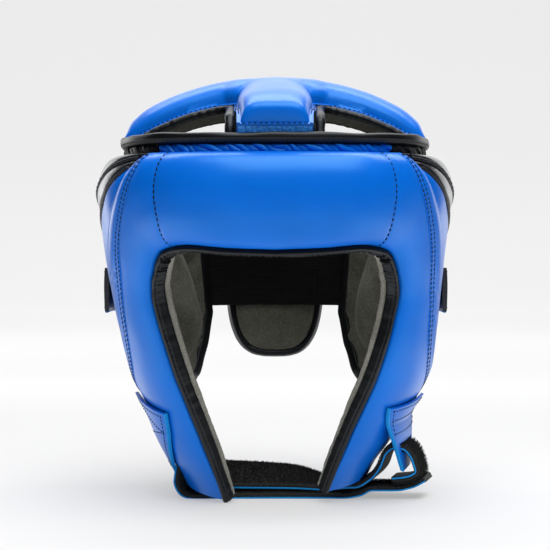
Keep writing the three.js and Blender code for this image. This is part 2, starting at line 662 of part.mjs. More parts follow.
// A place on the rear pad from -1 to 1 across and up, drawn in to an outline with rounded corners
function rearPlace(across, up, grow = 0) {
  const reach = Math.max(Math.abs(across), Math.abs(up));
  const power = Math.abs(across) ** REAR_PAD.corner + Math.abs(up) ** REAR_PAD.corner;
  const draw = reach > 0 ? reach / power ** (1 / REAR_PAD.corner) : 0;
  const halfHigh = (REAR_PAD.top - REAR_PAD.bottom) / 2;
  return {
    theta: rearAngle((REAR_PAD.half + grow) * across * draw),
    z: REAR_MIDDLE + (halfHigh + grow) * up * draw,
  };
}

function rearFlap(low, highAt) {
  return slab(REAR_PAD.cells, REAR_PAD.cells, (k, m, face) => {
    const across = 2 * m - 1;
    const up = 2 * k - 1;
    const { theta, z } = rearPlace(across, up);
    return skin(theta, z, face ? highAt(Math.max(Math.abs(across), Math.abs(up))) : low);
  });
}

const REAR_FOAM = REAR_PAD.lift + LINING + GAP;
const rearTopAt = (share) => REAR_FOAM + REAR_PAD.edge + REAR_PAD.puff * Math.sqrt(1 - share ** 2.4);
add("rear_pad", rearFlap(REAR_FOAM, rearTopAt), BLUE_LEATHER);
add("rear_lining", rearFlap(REAR_PAD.lift, () => REAR_PAD.lift + LINING), SUEDE);

// The outline of the rear pad, once round its four sides
function rearBindingRoute(k) {
  const along = 2 * ((4 * k) % 1) - 1;
  const sides = [
    [1, along],
    [-along, 1],
    [-1, -along],
    [along, -1],
  ];
  const [across, up] = sides[Math.floor(4 * k) % 4];
  const { theta, z } = rearPlace(across, up);
  const beyond = rearPlace(across, up, 1);
  const at = hollowPoint(theta, z);
  return { at, out: hollowOut(theta, z), away: hollowPoint(beyond.theta, beyond.z).sub(at).normalize() };
}

const rearSection = bar(
  REAR_BINDING.clear,
  REAR_BINDING.clear + REAR_BINDING.wide,
  REAR_PAD.lift,
  REAR_FOAM + REAR_PAD.edge + REAR_BINDING.proud,
);
add("rear_binding", sweep(4 * REAR_PAD.cells, rearSection, rearBindingRoute, true), BLACK_BINDING);

// Closure straps: from the rear pad round the outside of each side pad

const CLOSURE_START = rearAngle(REAR_PAD.half + REAR_BINDING.wide + CLOSURE.clear);
const CLOSURE_SEAM = seamTheta(CLOSURE.top);

// How far out a closure strap lies: over the side pad, easing down to the rear pad's edge
function closureLift(theta) {
  const t = clamp((theta - CLOSURE_SEAM) / (REAR_EDGE - CLOSURE_SEAM), 0, 1);
  const overPad = PAD_FLOOR + sideThickness(t, CLOSURE.top) + CLOSURE.proud;
  return lerp(overPad, CLOSURE.rearLift, smoothstep(theta, REAR_EDGE - 8, CLOSURE_START));
}

for (const { name, side } of SIDES) {
  const strap = slab(20, 1, (k, v, face) => {
    const theta = lerp(CLOSURE.front, CLOSURE_START, k);
    const point = skin(side * theta, CLOSURE.top, closureLift(theta) + face * CLOSURE.thick);
    return point.setZ(lerp(CLOSURE.bottom, CLOSURE.top, v));
  });
  add(`closure_strap_${name}`, strap, BLACK_LEATHER);
}

// Chin tabs: leather on the outside of each cheek; the right one hangs free and has a slot

function chinTab(side, rows, filled) {
  return slab(
    rows.length - 1,
    CHIN_TAB.cells,
    (k, m, face) => {
      const row = rows[Math.round(k * (rows.length - 1))];
      const s = side * lerp(row.front, row.rear, m);
      const u = lerp(row.frontShare, row.rearShare, m);
      const { theta, z } = archPlace(s, u);
      const lift = PAD_FLOOR + archThickness(s, u) + CHIN_TAB.proud + face * LEATHER;
      const point = skin(theta, z, lift);
      return point.setZ(point.z - row.drop);
    },
    filled,
  );
}

const isSlot = (i, j) => i === TAB_SLOT.row && j >= TAB_SLOT.first && j <= TAB_SLOT.last;
add("chin_tab_left", chinTab(-1, LEFT_TAB), BLUE_LEATHER);
add("chin_tab_right", chinTab(1, RIGHT_TAB, (i, j) => !isSlot(i, j)), BLUE_LEATHER);

// Chin strap: the lower ribbon comes from the left tab, the upper one loops through the right tab

function ribbon(rows) {
  const route = rows.map((row, i) => ({ ...row, k: i / (rows.length - 1) }));
  const value = (name, k) => column(route, "k", name, clamp(k, 0, 1));
  const pointAt = (k) => new THREE.Vector3(value("x", k), value("y", k), value("z", k));
  return slab(STEPS.strap, 1, (k, across, face) => {
    const along = pointAt(k + 0.01).sub(pointAt(k - 0.01));
    const turn = degToRad(value("turn", k));
    const tilt = degToRad(value("tilt", k));
    const flat = Math.cos(tilt);
    const wide = new THREE.Vector3(Math.sin(turn) * flat, Math.cos(turn) * flat, Math.sin(tilt));
    const up = along.cross(wide).normalize();
    return pointAt(k)
      .addScaledVector(wide, (across - 0.5) * value("width", k))
      .addScaledVector(up, (face - 0.5) * STRAP_THICK);
  });
}

add("chin_strap_lower", ribbon(LOWER_STRAP), STRAP_PILE);
add("chin_strap_upper", ribbon(UPPER_STRAP), STRAP_PILE);

export default headgear;
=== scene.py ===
# Open-face padded headgear for kickboxing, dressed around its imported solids: leather pads, suede linings,
# sewn bindings, crown, rear closure and chin strap. Sizes are in millimetres until a mesh is made.
import math

import bmesh
import bpy
import numpy as np
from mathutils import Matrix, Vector, noise


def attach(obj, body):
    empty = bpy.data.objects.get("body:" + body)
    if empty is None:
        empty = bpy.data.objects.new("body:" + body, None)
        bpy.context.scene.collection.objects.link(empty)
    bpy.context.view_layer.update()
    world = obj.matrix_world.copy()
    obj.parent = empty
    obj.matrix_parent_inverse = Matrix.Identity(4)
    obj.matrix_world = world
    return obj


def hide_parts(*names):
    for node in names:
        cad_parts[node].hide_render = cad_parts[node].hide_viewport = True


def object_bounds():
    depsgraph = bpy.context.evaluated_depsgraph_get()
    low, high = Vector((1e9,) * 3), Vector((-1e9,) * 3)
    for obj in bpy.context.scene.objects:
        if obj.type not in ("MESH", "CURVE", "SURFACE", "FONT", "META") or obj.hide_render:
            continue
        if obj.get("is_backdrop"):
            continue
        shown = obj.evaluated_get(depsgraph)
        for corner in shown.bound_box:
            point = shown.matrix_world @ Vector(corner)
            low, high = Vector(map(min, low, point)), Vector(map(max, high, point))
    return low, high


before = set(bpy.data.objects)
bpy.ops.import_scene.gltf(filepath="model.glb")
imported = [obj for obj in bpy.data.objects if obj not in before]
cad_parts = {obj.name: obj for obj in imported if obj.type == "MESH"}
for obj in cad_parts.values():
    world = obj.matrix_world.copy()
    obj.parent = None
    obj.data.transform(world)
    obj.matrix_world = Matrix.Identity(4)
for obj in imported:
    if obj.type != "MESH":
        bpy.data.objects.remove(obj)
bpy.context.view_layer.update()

scene = bpy.context.scene

# Studio: a pale paper sweep, lit through from behind so that it looks even to the camera, in a dark room.
# The headgear sees only the paper close in front of it, beside it and far behind, and four soft lights.
SWEEP = {"half": 5.0, "front": -5.0, "rear": 2.4, "radius": 1.2, "top": 4.0, "arc_steps": 16}
CAMERA = {"away": 1.3, "height": 0.170, "down_deg": 1.77, "lens": 143.4}
# Place, point aimed at, width, height and watts
SOFTBOXES = {
    "key": ((0.15, -0.62, 1.55), (0, 0, 0.15), 1.5, 1.5, 43),
    "hair": ((0.1, 0.8, 1.6), (0, 0, 0.2), 2.4, 0.6, 27),
    "side_left": ((-1.0, 1.3, 0.4), (0, 0, 0.18), 0.5, 0.8, 3.4),
    "side_right": ((1.0, 1.3, 0.4), (0, 0, 0.18), 0.5, 0.8, 2.0),
}
SKY = {"seen": 0.76, "felt": 0.02}
PAPER = {"dark": (0.30, 0.30, 0.302), "light": (0.32, 0.32, 0.322), "cloud": 3.0, "nearest": 0.6}
# Distance behind the headgear in metres, and how light the paper there looks to the camera
SEEN = [(-0.3, 0.42), (0.0, 0.385), (0.35, 0.335), (0.85, 0.45), (1.65, 0.61), (2.4, 0.66), (3.0, 0.715)]
# How light the paper is to the headgear: middle of each lit patch, strength, and where it fades
FRONT_PATCH = {"at": (0, -0.33, 0), "glow": 0.95, "fades": (0.12, 0.5)}
SIDE_PATCH = {"at": (0.3, 0.14, 0), "glow": 1.5, "fades": (0.05, 0.24)}
WALL = {"glow": 1.4, "starts": (1.8, 3.0), "fades": (1.0, 2.4)}


def feed(tree, socket, value):
    """Sets a socket to a value, or links it to the socket given."""
    if isinstance(value, bpy.types.NodeSocket):
        tree.links.new(value, socket)
    else:
        socket.default_value = value


def node(tree, kind, settings=None, **inputs):
    """Adds a node; its inputs are numbers, colours, or the sockets that feed them."""
    made = tree.nodes.new(kind)
    for key, value in (settings or {}).items():
        setattr(made, key, value)
    for key, value in inputs.items():
        feed(tree, made.inputs[key.replace("_", " ")], value)
    return made


def object_place(tree):
    return node(tree, "ShaderNodeTexCoord").outputs["Object"]


def figure(tree, operation, *values, kind="Math", gives="Value"):
    """The result of a math node on numbers, vectors or sockets."""
    made = node(tree, "ShaderNode" + kind, {"operation": operation})
    for socket, value in zip(made.inputs, values):
        feed(tree, socket, value)
    return made.outputs[gives]


def fade(tree, value, low, high, start, end):
    """A smooth change from start to end while a value goes from low to high."""
    made = node(tree, "ShaderNodeMapRange", {"interpolation_type": "SMOOTHSTEP"}, Value=value, From_Min=low,
                From_Max=high, To_Min=start, To_Max=end)
    return made.outputs["Result"]


def two_tone(tree, mask, dark, light, low=0.0, high=1.0):
    """Two colours mixed by a mask, over a range of it."""
    tone = node(tree, "ShaderNodeValToRGB", Fac=mask)
    for stop, position, color in zip(tone.color_ramp.elements, (low, high), (dark, light)):
        stop.position = position
        stop.color = (*color, 1)
    return tone.outputs["Color"]


def finish_material(name, **inputs):
    """A material whose nodes are added around one Principled shader."""
    material = bpy.data.materials.new(name)
    material.use_nodes = True
    tree = material.node_tree
    shader = tree.nodes["Principled BSDF"]
    for key, value in inputs.items():
        shader.inputs[key.replace("_", " ")].default_value = value
    return material, tree, shader


def finish_with(tree, shader, **sockets):
    """Links what varies over a surface to its Principled shader."""
    for key, socket in sockets.items():
        tree.links.new(socket, shader.inputs[key.replace("_", " ")])


paper, tree, shader = finish_material("studio_paper", Roughness=0.9, Emission_Color=(1, 1, 1, 1))
where = object_place(tree)
cloudy = node(tree, "ShaderNodeTexNoise", Vector=where, Scale=PAPER["cloud"])
place = node(tree, "ShaderNodeSeparateXYZ", Vector=where).outputs
distance = figure(tree, "LENGTH", where, kind="VectorMath")
behind = figure(tree, "MAXIMUM", place["Y"], figure(tree, "SUBTRACT", distance, PAPER["nearest"]))
span = node(tree, "ShaderNodeMapRange", Value=behind, From_Min=SEEN[0][0], From_Max=SEEN[-1][0])
seen = node(tree, "ShaderNodeValToRGB", Fac=span.outputs["Result"])
seen.color_ramp.interpolation = "EASE"
for _ in SEEN[2:]:
    seen.color_ramp.elements.new(0.5)
for stop, (at, level) in zip(seen.color_ramp.elements, SEEN):
    stop.position = (at - SEEN[0][0]) / (SEEN[-1][0] - SEEN[0][0])
    stop.color = (level, level, level, 1)
from_front = figure(tree, "DISTANCE", where, FRONT_PATCH["at"], kind="VectorMath")
mirrored = figure(tree, "ABSOLUTE", where, kind="VectorMath", gives="Vector")
from_side = figure(tree, "DISTANCE", mirrored, SIDE_PATCH["at"], kind="VectorMath")
in_front = fade(tree, from_front, *FRONT_PATCH["fades"], FRONT_PATCH["glow"], 0.0)
beside = fade(tree, from_side, *SIDE_PATCH["fades"], SIDE_PATCH["glow"], 0.0)
wall = fade(tree, place["Y"], *WALL["starts"], 0.0, WALL["glow"])
middle = fade(tree, figure(tree, "ABSOLUTE", place["X"]), *WALL["fades"], 1.0, 0.0)
felt = figure(tree, "MULTIPLY_ADD", wall, middle, figure(tree, "ADD", in_front, beside))
direct = node(tree, "ShaderNodeLightPath").outputs["Is Camera Ray"]
glow = node(tree, "ShaderNodeMix", Factor=direct, A=felt, B=seen.outputs["Color"])
finish_with(tree, shader, Base_Color=two_tone(tree, cloudy.outputs["Fac"], PAPER["dark"], PAPER["light"]),
            Emission_Strength=glow.outputs["Result"])

turns = np.linspace(0, math.pi / 2, SWEEP["arc_steps"])
bend = [(SWEEP["rear"] + SWEEP["radius"] * math.sin(a), SWEEP["radius"] * (1 - math.cos(a))) for a in turns]
profile = [(SWEEP["front"], 0.0), *bend, (bend[-1][0], SWEEP["top"])]
sweep_mesh = bpy.data.meshes.new("paper_sweep")
sweep_mesh.from_pydata(
    [(side * SWEEP["half"], y, z) for y, z in profile for side in (-1, 1)],
    [],
    [(2 * i, 2 * i + 1, 2 * i + 3, 2 * i + 2) for i in range(len(profile) - 1)],
)
sweep_mesh.shade_smooth()
sweep_mesh.materials.append(paper)
paper_sweep = bpy.data.objects.new("paper_sweep", sweep_mesh)
scene.collection.objects.link(paper_sweep)
paper_sweep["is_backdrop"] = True

scene.world = bpy.data.worlds.new("studio")
scene.world.use_nodes = True
room = scene.world.node_tree
background = room.nodes["Background"]
background.inputs["Color"].default_value = (1, 1, 1, 1)
direct = node(room, "ShaderNodeLightPath").outputs["Is Camera Ray"]
shade = node(room, "ShaderNodeMapRange", Value=direct, To_Min=SKY["felt"], To_Max=SKY["seen"])
room.links.new(shade.outputs["Result"], background.inputs["Strength"])
scene.view_settings.view_transform = "Standard"

for name, (at, aim, wide, high, watts) in SOFTBOXES.items():
    light = bpy.data.lights.new(name, "AREA")
    light.shape = "RECTANGLE"
    light.size = wide
    light.size_y = high
    light.energy = watts
    lamp = bpy.data.objects.new(name, light)
    lamp.location = at
    lamp.rotation_euler = (Vector(aim) - Vector(at)).to_track_quat("-Z", "Y").to_euler()
    scene.collection.objects.link(lamp)

lens = bpy.data.cameras.new("camera")
lens.lens = CAMERA["lens"]
camera = bpy.data.objects.new("camera", lens)
camera.location = (0, -CAMERA["away"], CAMERA["height"])
camera.rotation_euler = (math.radians(90 - CAMERA["down_deg"]), 0, 0)
scene.collection.objects.link(camera)
scene.camera = camera

# Front pad: moulded foam over the brow and both cheeks, covered in one piece of smooth synthetic leather
# that is drawn tight and sewn into the bindings. A row of stitches crosses it on each side of the forehead.
MM = 0.001
PAD_FLOOR = 2.5
PLAN_POWER = 2.6
# The hollow for the head: height, half-width, reach to the front, reach to the rear, lean to the rear, and
# how much further the right side is spread by its strap
HOLLOW = np.array([
    (0, 44, 53, 60, 16, 0), (25, 49.5, 62, 68, 13, 0), (45, 54.5, 70, 75, 10.5, 2.5), (81, 64, 84, 88, 6, 6),
    (124, 73, 95, 99, 2, 1.5), (150, 76.5, 97.5, 102, 0.4, 0), (180, 78.5, 98, 102.5, 0, 0),
    (200, 77.8, 96.4, 100.5, 0, 0), (216, 76, 94.4, 98, 0, 0),
])
# The arch: station, angle and height at the face opening, at the outer edge, thickness at each, swell
ARCH = np.array([
    (0, 0, 147.8, 0, 199, 8, 11, 14), (1, 13.5, 148.6, 19, 199, 8, 11, 14),
    (2, 25.5, 150.2, 36.5, 199, 8, 11.5, 14), (3, 34.5, 147.5, 43, 184, 8.5, 17.5, 9),
    (4, 39.8, 136, 55, 154, 9, 18, 7), (5, 42.2, 122, 62, 123, 9, 17.5, 6),
    (6, 37.8, 82, 69, 84, 9, 17, 6), (7, 32.1, 44, 92, 50, 9, 9, 5.5), (8, 27, 5, 80, 13, 7, 7, 0),
])
ARCH_END = 8
RIGHT_CHEEK_RAISE = 6
RAISE_BELOW = 100
# Brow seam: share of the way up, station. Side seam: station, share of the way out.
# Creases: side, height, width
BROW_SEAM = np.array([(0, 2.55), (0.13, 2.4), (0.32, 2.17), (0.53, 1.97), (0.73, 1.78), (1, 1.58)])
SIDE_SEAM = np.array([
    (2.05, 0.97), (2.4, 0.87), (3, 0.79), (3.5, 0.68), (4, 0.6), (4.5, 0.57), (5, 0.58), (5.5, 0.62),
    (6, 0.72), (6.4, 0.86), (6.6, 0.97),
])
CREASES = [(-1, 134, 1.2), (-1, 127.5, 1.0), (1, 121, 1.1), (1, 109, 1.3)]
# Depth of each unevenness of the leather
DENT = {"wave": 0.45, "ripple": 0.16, "side_seam": 1.1, "brow_seam": 0.7, "crease": 0.42, "pucker": 0.5}


def curve(table, k, at):
    """Column k of a table at any key, on a smooth curve through the rows that never overshoots."""
    key, value = table[:, 0], table[:, k]
    at = np.clip(at, key[0], key[-1])
    span = np.diff(key)
    rate = np.diff(value) / span
    before, after = np.append(rate[0], rate), np.append(rate, rate[-1])
    agree = before * after > 0
    slope = np.where(agree, 2 * before * after / np.where(agree, before + after, 1), 0)
    i = np.clip(np.searchsorted(key, at, side="right") - 1, 0, len(span) - 1)
    t = (at - key[i]) / span[i]
    rise = value[i + 1] - value[i]
    start_bend = slope[i] * span[i] - rise
    end_bend = rise - slope[i + 1] * span[i]
    return value[i] + rise * t + t * (1 - t) * (start_bend * (1 - t) + end_bend * t)


def hollow(theta, z):
    """A point of the hollow for the head, at an angle from the front and a height."""
    across, ahead = np.sin(np.radians(theta)), np.cos(np.radians(theta))
    reach = np.where(ahead > 0, curve(HOLLOW, 2, z), curve(HOLLOW, 3, z))
    half = curve(HOLLOW, 1, z) + np.where(across > 0, curve(HOLLOW, 5, z), 0)
    power = np.abs(across / half) ** PLAN_POWER + np.abs(ahead / reach) ** PLAN_POWER
    radius = power ** (-1 / PLAN_POWER)
    return np.stack([radius * across, curve(HOLLOW, 4, z) - radius * ahead, z + 0 * radius], -1)


def unit(v):
    return v / np.maximum(np.linalg.norm(v, axis=-1, keepdims=True), 1e-9)


def outward(theta, z):
    """The direction straight out of the hollow."""
    around = hollow(theta + 0.5, z) - hollow(theta - 0.5, z)
    return unit(np.cross(around, hollow(theta, z + 0.5) - hollow(theta, z - 0.5)))


def skin(theta, z, lift):
    """A point lifted off the hollow."""
    return hollow(theta, z) + outward(theta, z) * np.asarray(lift)[..., None]


def mix(a, b, share):
    return a + (b - a) * share


def ease(x, low, high):
    t = np.clip((x - low) / (high - low), 0, 1)
    return t * t * (3 - 2 * t)


def pillow(share, fullness):
    """A rounded swell: 0 at both ends of a span, 1 in its middle."""
    return np.sqrt(1 - np.abs(2 * np.clip(share, 0, 1) - 1) ** fullness)


def lattice(rows, columns):
    return np.meshgrid(rows, columns, indexing="ij")


def close_to_ends(count):
    """Shares from 0 to 1 that lie closer together at both ends, where a pad rolls over its edge."""
    return 0.5 - 0.5 * np.cos(np.pi * np.linspace(0, 1, count))


def rumple(points, size, seed):
    """Smooth unevenness between about -1 and 1, at points in millimetres."""
    flat = points.reshape(-1, 3) / size
    values = [noise.noise(Vector((x, y, z + 31.7 * seed))) for x, y, z in flat]
    return np.array(values).reshape(points.shape[:-1])


def near_path(points, path, width):
    """1 on a sewn path, falling to 0 over a width beside it."""
    flat = points.reshape(-1, 3)
    nearest = np.full(len(flat), 1e9)
    for p in path:
        nearest = np.minimum(nearest, ((flat - p) ** 2).sum(-1))
    return np.exp(-nearest / width**2).reshape(points.shape[:-1])


def arch_place(s, u):
    """Angle and height on the arch, from the station along it and the share of the way outwards."""
    at = np.abs(s)
    theta = mix(curve(ARCH, 1, at), curve(ARCH, 3, at), u)
    z = mix(curve(ARCH, 2, at), curve(ARCH, 4, at), u)
    share = np.where(s > 0, np.clip(1 - z / RAISE_BELOW, 0, 1), 0)
    return np.sign(s) * theta, z + RIGHT_CHEEK_RAISE * share**2


def arch_thickness(s, u):
    """The pad rolls over its edges, except beside the side pads, where it stays full up to the seam."""
    at = np.abs(s)
    full = 1 - 0.07 * ease(at, 2.3, 3.2) * (1 - ease(at, 6.3, 6.8))
    return mix(curve(ARCH, 5, at), curve(ARCH, 6, at), u) + curve(ARCH, 7, at) * pillow(u * full, 2.4)


def front_surface(s, u, more=0.0):
    return skin(*arch_place(s, u), PAD_FLOOR + arch_thickness(s, u) + more)


def piece(name, points, faces, material, sharp_deg=50):
    """A mesh object at the origin from points in millimetres, facing outwards."""
    mesh = bpy.data.meshes.new(name)
    corners = np.asarray(points).reshape(-1, 3) * MM
    mesh.from_pydata(corners.tolist(), [], [[int(v) for v in f] for f in faces])
    shape = bmesh.new()
    shape.from_mesh(mesh)
    bmesh.ops.recalc_face_normals(shape, faces=shape.faces[:])
    shape.to_mesh(mesh)
    shape.free()
    mesh.shade_smooth()
    mesh.set_sharp_from_angle(angle=math.radians(sharp_deg))
    mesh.materials.append(material)
    made = bpy.data.objects.new(name, mesh)
    scene.collection.objects.link(made)
    return made


def grid_quads(index):
    return np.stack([index[:-1, :-1], index[1:, :-1], index[1:, 1:], index[:-1, 1:]], -1).reshape(-1, 4)


def shell(name, outer, inner, material):
    """A closed skin between an outer and an inner grid of points."""
    rows, columns = outer.shape[:2]
    index = np.arange(rows * columns).reshape(rows, columns)
    rim = np.concatenate([index[0], index[1:, -1], index[-1, -2::-1], index[-2:0:-1, 0]])
    wall = np.stack([rim, np.roll(rim, -1), np.roll(rim, -1) + index.size, rim + index.size], -1)
    faces = np.concatenate([grid_quads(index), grid_quads(index + index.size)[:, ::-1], wall])
    return piece(name, np.concatenate([outer.reshape(-1, 3), inner.reshape(-1, 3)]), faces, material)


def settle(made, slot, *nodes):
    """Puts a piece on the headgear's one body, in place of the solids that it stands for; its slot is not
    used.
    """
    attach(made, "root")
    if nodes:
        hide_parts(*nodes)
    return made


def add_sockets(group, way, **kinds):
    for label, kind in kinds.items():
        group.interface.new_socket(label, in_out=way, socket_type="NodeSocket" + kind)


def grain_group():
    """Fine pebbled grain with broad cloudy variation, for every leather."""
    group = bpy.data.node_groups.new("leather_grain", "ShaderNodeTree")
    add_sockets(group, "INPUT", Pebble="Float", Depth="Float", Cloud="Float")
    add_sockets(group, "OUTPUT", Cloudiness="Float", Normal="Vector")
    given = group.nodes.new("NodeGroupInput").outputs
    put = group.nodes.new("NodeGroupOutput").inputs
    where = object_place(group)
    pebbles = node(group, "ShaderNodeTexVoronoi", Vector=where, Scale=given["Pebble"])
    cloud = node(group, "ShaderNodeTexNoise", Vector=where, Scale=given["Cloud"], Detail=4.0)
    fine = node(group, "ShaderNodeTexNoise", Vector=where, Scale=given["Pebble"], Detail=2.0)
    height = figure(group, "ADD", pebbles.outputs["Distance"], fine.outputs["Fac"])
    bump = node(group, "ShaderNodeBump", Height=height, Strength=0.5, Distance=given["Depth"])
    group.links.new(cloud.outputs["Fac"], put["Cloudiness"])
    group.links.new(bump.outputs["Normal"], put["Normal"])
    return group


LEATHER_GRAIN = grain_group()
PEBBLE = 900.0


def leather(name, dark, light, rough, depth, shine=0.5, tint=(1, 1, 1), cloud=28.0):
    """Smooth coated leather: two close colours, and a gloss that varies a little with the grain."""
    material, tree, shader = finish_material(name, Specular_IOR_Level=shine, Specular_Tint=(*tint, 1))
    settings = {"node_tree": LEATHER_GRAIN}
    grain = node(tree, "ShaderNodeGroup", settings, Pebble=PEBBLE, Depth=depth, Cloud=cloud).outputs
    gloss = node(tree, "ShaderNodeMapRange", Value=grain["Cloudiness"], To_Min=rough - 0.04,
                 To_Max=rough + 0.05)
    finish_with(tree, shader, Base_Color=two_tone(tree, grain["Cloudiness"], dark, light, 0.3, 0.7),
                Roughness=gloss.outputs["Result"], Normal=grain["Normal"])
    return material


blue_leather = leather("blue_leather", (0.0010, 0.116, 0.56), (0.0014, 0.133, 0.63), 0.32, 0.00004,
                       tint=(0.26, 0.68, 1.0))

s, u = lattice(np.linspace(-ARCH_END, ARCH_END, 353), close_to_ends(44))
plain = front_surface(s, u)
brow_share = np.linspace(0.015, 0.985, 120)
brow_stations = curve(BROW_SEAM, 1, brow_share)
brow_paths = [front_surface(side * brow_stations, brow_share) for side in (-1, 1)]
relief = DENT["wave"] * rumple(plain, 42, 1) + DENT["ripple"] * rumple(plain, 13, 2)
seam_stations = np.linspace(SIDE_SEAM[0, 0], SIDE_SEAM[-1, 0], 170)
seam_share = curve(SIDE_SEAM, 1, seam_stations)
for side in (-1, 1):
    seam = front_surface(side * seam_stations, seam_share)
    relief -= DENT["side_seam"] * near_path(plain, seam, 3.0)
for path in brow_paths:
    for width in (1.3, 8):
        relief -= DENT["brow_seam"] * near_path(plain, path, width)
for side, height, width in CREASES:
    fold = np.exp(-(((plain[..., 2] - height - 2.5 * rumple(plain, 25, 3)) / width) ** 2))
    relief -= DENT["crease"] * fold * ease(u, 0.35, 0.8) * (np.sign(s) == side) * (np.abs(s) > 3)
pucker = DENT["pucker"] * np.abs(rumple(np.stack([s * 20, 0 * s, 0 * s], -1), 1.1, 4))
relief -= pucker * np.exp(-u * 11) * ease(np.abs(s), 1.5, 4) * ease(u, 0, 0.02)
relief -= pucker * np.exp(-(1 - u) * 12) * (np.abs(s) < 2.1) * ease(1 - u, 0, 0.02)
floor = skin(*arch_place(s, u), PAD_FLOOR + 0 * s)
front_pad = shell("brow_and_cheek_pad", front_surface(s, u, relief), floor, blue_leather)
settle(front_pad, "blue_leather", "front_pad")


def stitch_tree():
    """Stitches along sewn paths: the edges given are the paths."""
    group = bpy.data.node_groups.new("stitches", "GeometryNodeTree")
    add_sockets(group, "INPUT", Paths="Geometry", Pitch="Float", Length="Float", Thickness="Float",
                Thread="Material")
    add_sockets(group, "OUTPUT", Stitches="Geometry")
    given = group.nodes.new("NodeGroupInput").outputs
    put = group.nodes.new("NodeGroupOutput").inputs
    paths = node(group, "GeometryNodeMeshToCurve", Mesh=given["Paths"]).outputs["Curve"]
    even = node(group, "GeometryNodeResampleCurve", {"mode": "LENGTH"}, Curve=paths, Length=given["Pitch"])
    points = node(group, "GeometryNodeCurveToPoints", {"mode": "EVALUATED"}, Curve=even.outputs["Curve"])
    along = node(group, "FunctionNodeAlignRotationToVector", {"axis": "Z"}, Vector=points.outputs["Tangent"])
    bead = node(group, "GeometryNodeMeshUVSphere", Segments=6, Rings=4, Radius=0.5)
    size = node(group, "ShaderNodeCombineXYZ", X=given["Thickness"], Y=given["Thickness"], Z=given["Length"])
    stitched = node(group, "GeometryNodeInstanceOnPoints", Points=points.outputs["Points"],
                    Instance=bead.outputs["Mesh"], Rotation=along.outputs["Rotation"],
                    Scale=size.outputs["Vector"])
    real = node(group, "GeometryNodeRealizeInstances", Geometry=stitched.outputs["Instances"])
    smooth = node(group, "GeometryNodeSetShadeSmooth", Geometry=real.outputs["Geometry"])
    dressed = node(group, "GeometryNodeSetMaterial", Geometry=smooth.outputs[0], Material=given["Thread"])
    group.links.new(dressed.outputs["Geometry"], put["Stitches"])
    return group


STITCHES = stitch_tree()


def from_nodes(name, mesh, tree, **values):
    """Runs a geometry node tree on a mesh and keeps the result as a plain mesh object."""
    carrier = bpy.data.objects.new(name + "_carrier", mesh)
    scene.collection.objects.link(carrier)
    modifier = carrier.modifiers.new("nodes", "NODES")
    modifier.node_group = tree
    sockets = {i.name: i.identifier for i in tree.interface.items_tree if i.in_out == "INPUT"}
    for label, value in values.items():
        modifier[sockets[label]] = value
    made = bpy.data.meshes.new_from_object(carrier.evaluated_get(bpy.context.evaluated_depsgraph_get()))
    bpy.data.objects.remove(carrier)
    made.name = name
    result = bpy.data.objects.new(name, made)
    scene.collection.objects.link(result)
    return result


def sew(name, paths, thread, slot, pitch=3.2, length=2.5, thick=0.55):
    """Rows of stitches along paths of points in millimetres."""
    points, edges = [], []
    for path in paths:
        edges += [(len(points) + i, len(points) + i + 1) for i in range(len(path) - 1)]
        points += [tuple(p) for p in np.asarray(path) * MM]
    mesh = bpy.data.meshes.new(name)
    mesh.from_pydata(points, edges, [])
    sizes = {"Pitch": pitch * MM, "Length": length * MM, "Thickness": thick * MM}
    return settle(from_nodes(name, mesh, STITCHES, **sizes, Thread=thread), slot)


def thread(name, color):
    """Bonded sewing thread, with the sheen and twist of its plies."""
    material, tree, shader = finish_material(name, Roughness=0.7, Specular_IOR_Level=0.2)
    where = object_place(tree)
    twist = node(tree, "ShaderNodeTexNoise", Vector=where, Scale=2600.0).outputs["Fac"]
    finish_with(tree, shader, Base_Color=two_tone(tree, twist, [0.6 * c for c in color], color))
    return material


black_thread = thread("black_thread", (0.003, 0.004, 0.009))
brow_rows = [front_surface(side * brow_stations, brow_share, -1.2) for side in (-1, 1)]
sew("brow_stitches", brow_rows, black_thread, "blue_leather", pitch=3.1, length=2.3, thick=0.78)

# Front lining: one piece of grey suede on the inside of the brow and cheeks, turned under the bindings.
LINING = 1.8


def suede(name, dark, light):
    """Brushed suede: a short nap that is lighter where it is stroked one way, and matt all over."""
    material, tree, shader = finish_material(name, Roughness=0.95, Specular_IOR_Level=0.15,
                                             Sheen_Weight=0.08, Sheen_Roughness=0.5)
    where = object_place(tree)
    stroked = node(tree, "ShaderNodeTexNoise", Vector=where, Scale=55.0, Detail=5.0, Roughness=0.65)
    nap = node(tree, "ShaderNodeTexNoise", Vector=where, Scale=1100.0, Detail=3.0).outputs["Fac"]
    both = node(tree, "ShaderNodeMix", Factor=0.55, A=stroked.outputs["Fac"], B=nap).outputs["Result"]
    bump = node(tree, "ShaderNodeBump", Height=nap, Strength=1.0, Distance=0.0004)
    color = two_tone(tree, both, dark, light, 0.36, 0.66)
    finish_with(tree, shader, Base_Color=color, Normal=bump.outputs["Normal"])
    return material


grey_suede = suede("grey_suede", (0.062, 0.062, 0.049), (0.150, 0.148, 0.122))
pale_suede = suede("pale_suede", (0.17, 0.167, 0.143), (0.33, 0.324, 0.285))
s, u = lattice(np.linspace(-ARCH_END, ARCH_END, 241), np.linspace(0, 1, 20))
inner = skin(*arch_place(s, u), 0 * s)
loose = 0.5 * rumple(inner, 16, 5) * pillow(u, 6)
back = skin(*arch_place(s, u), LINING + 0 * s)
front_lining = shell("brow_and_cheek_lining", back, skin(*arch_place(s, u), loose - 0.3), grey_suede)
settle(front_lining, "suede_lining", "front_lining")

# Side pads: foam over the temple, ear and jaw. A blue panel below and two black ones above it, sewn together
# over raised cords, and joined to the front pad by a taped seam with two rows of stitches.
SEAM_GAP_DEG = 1.7
SEAM_START = -0.016
REAR_EDGE = 153
PANEL_GAP = 0.8
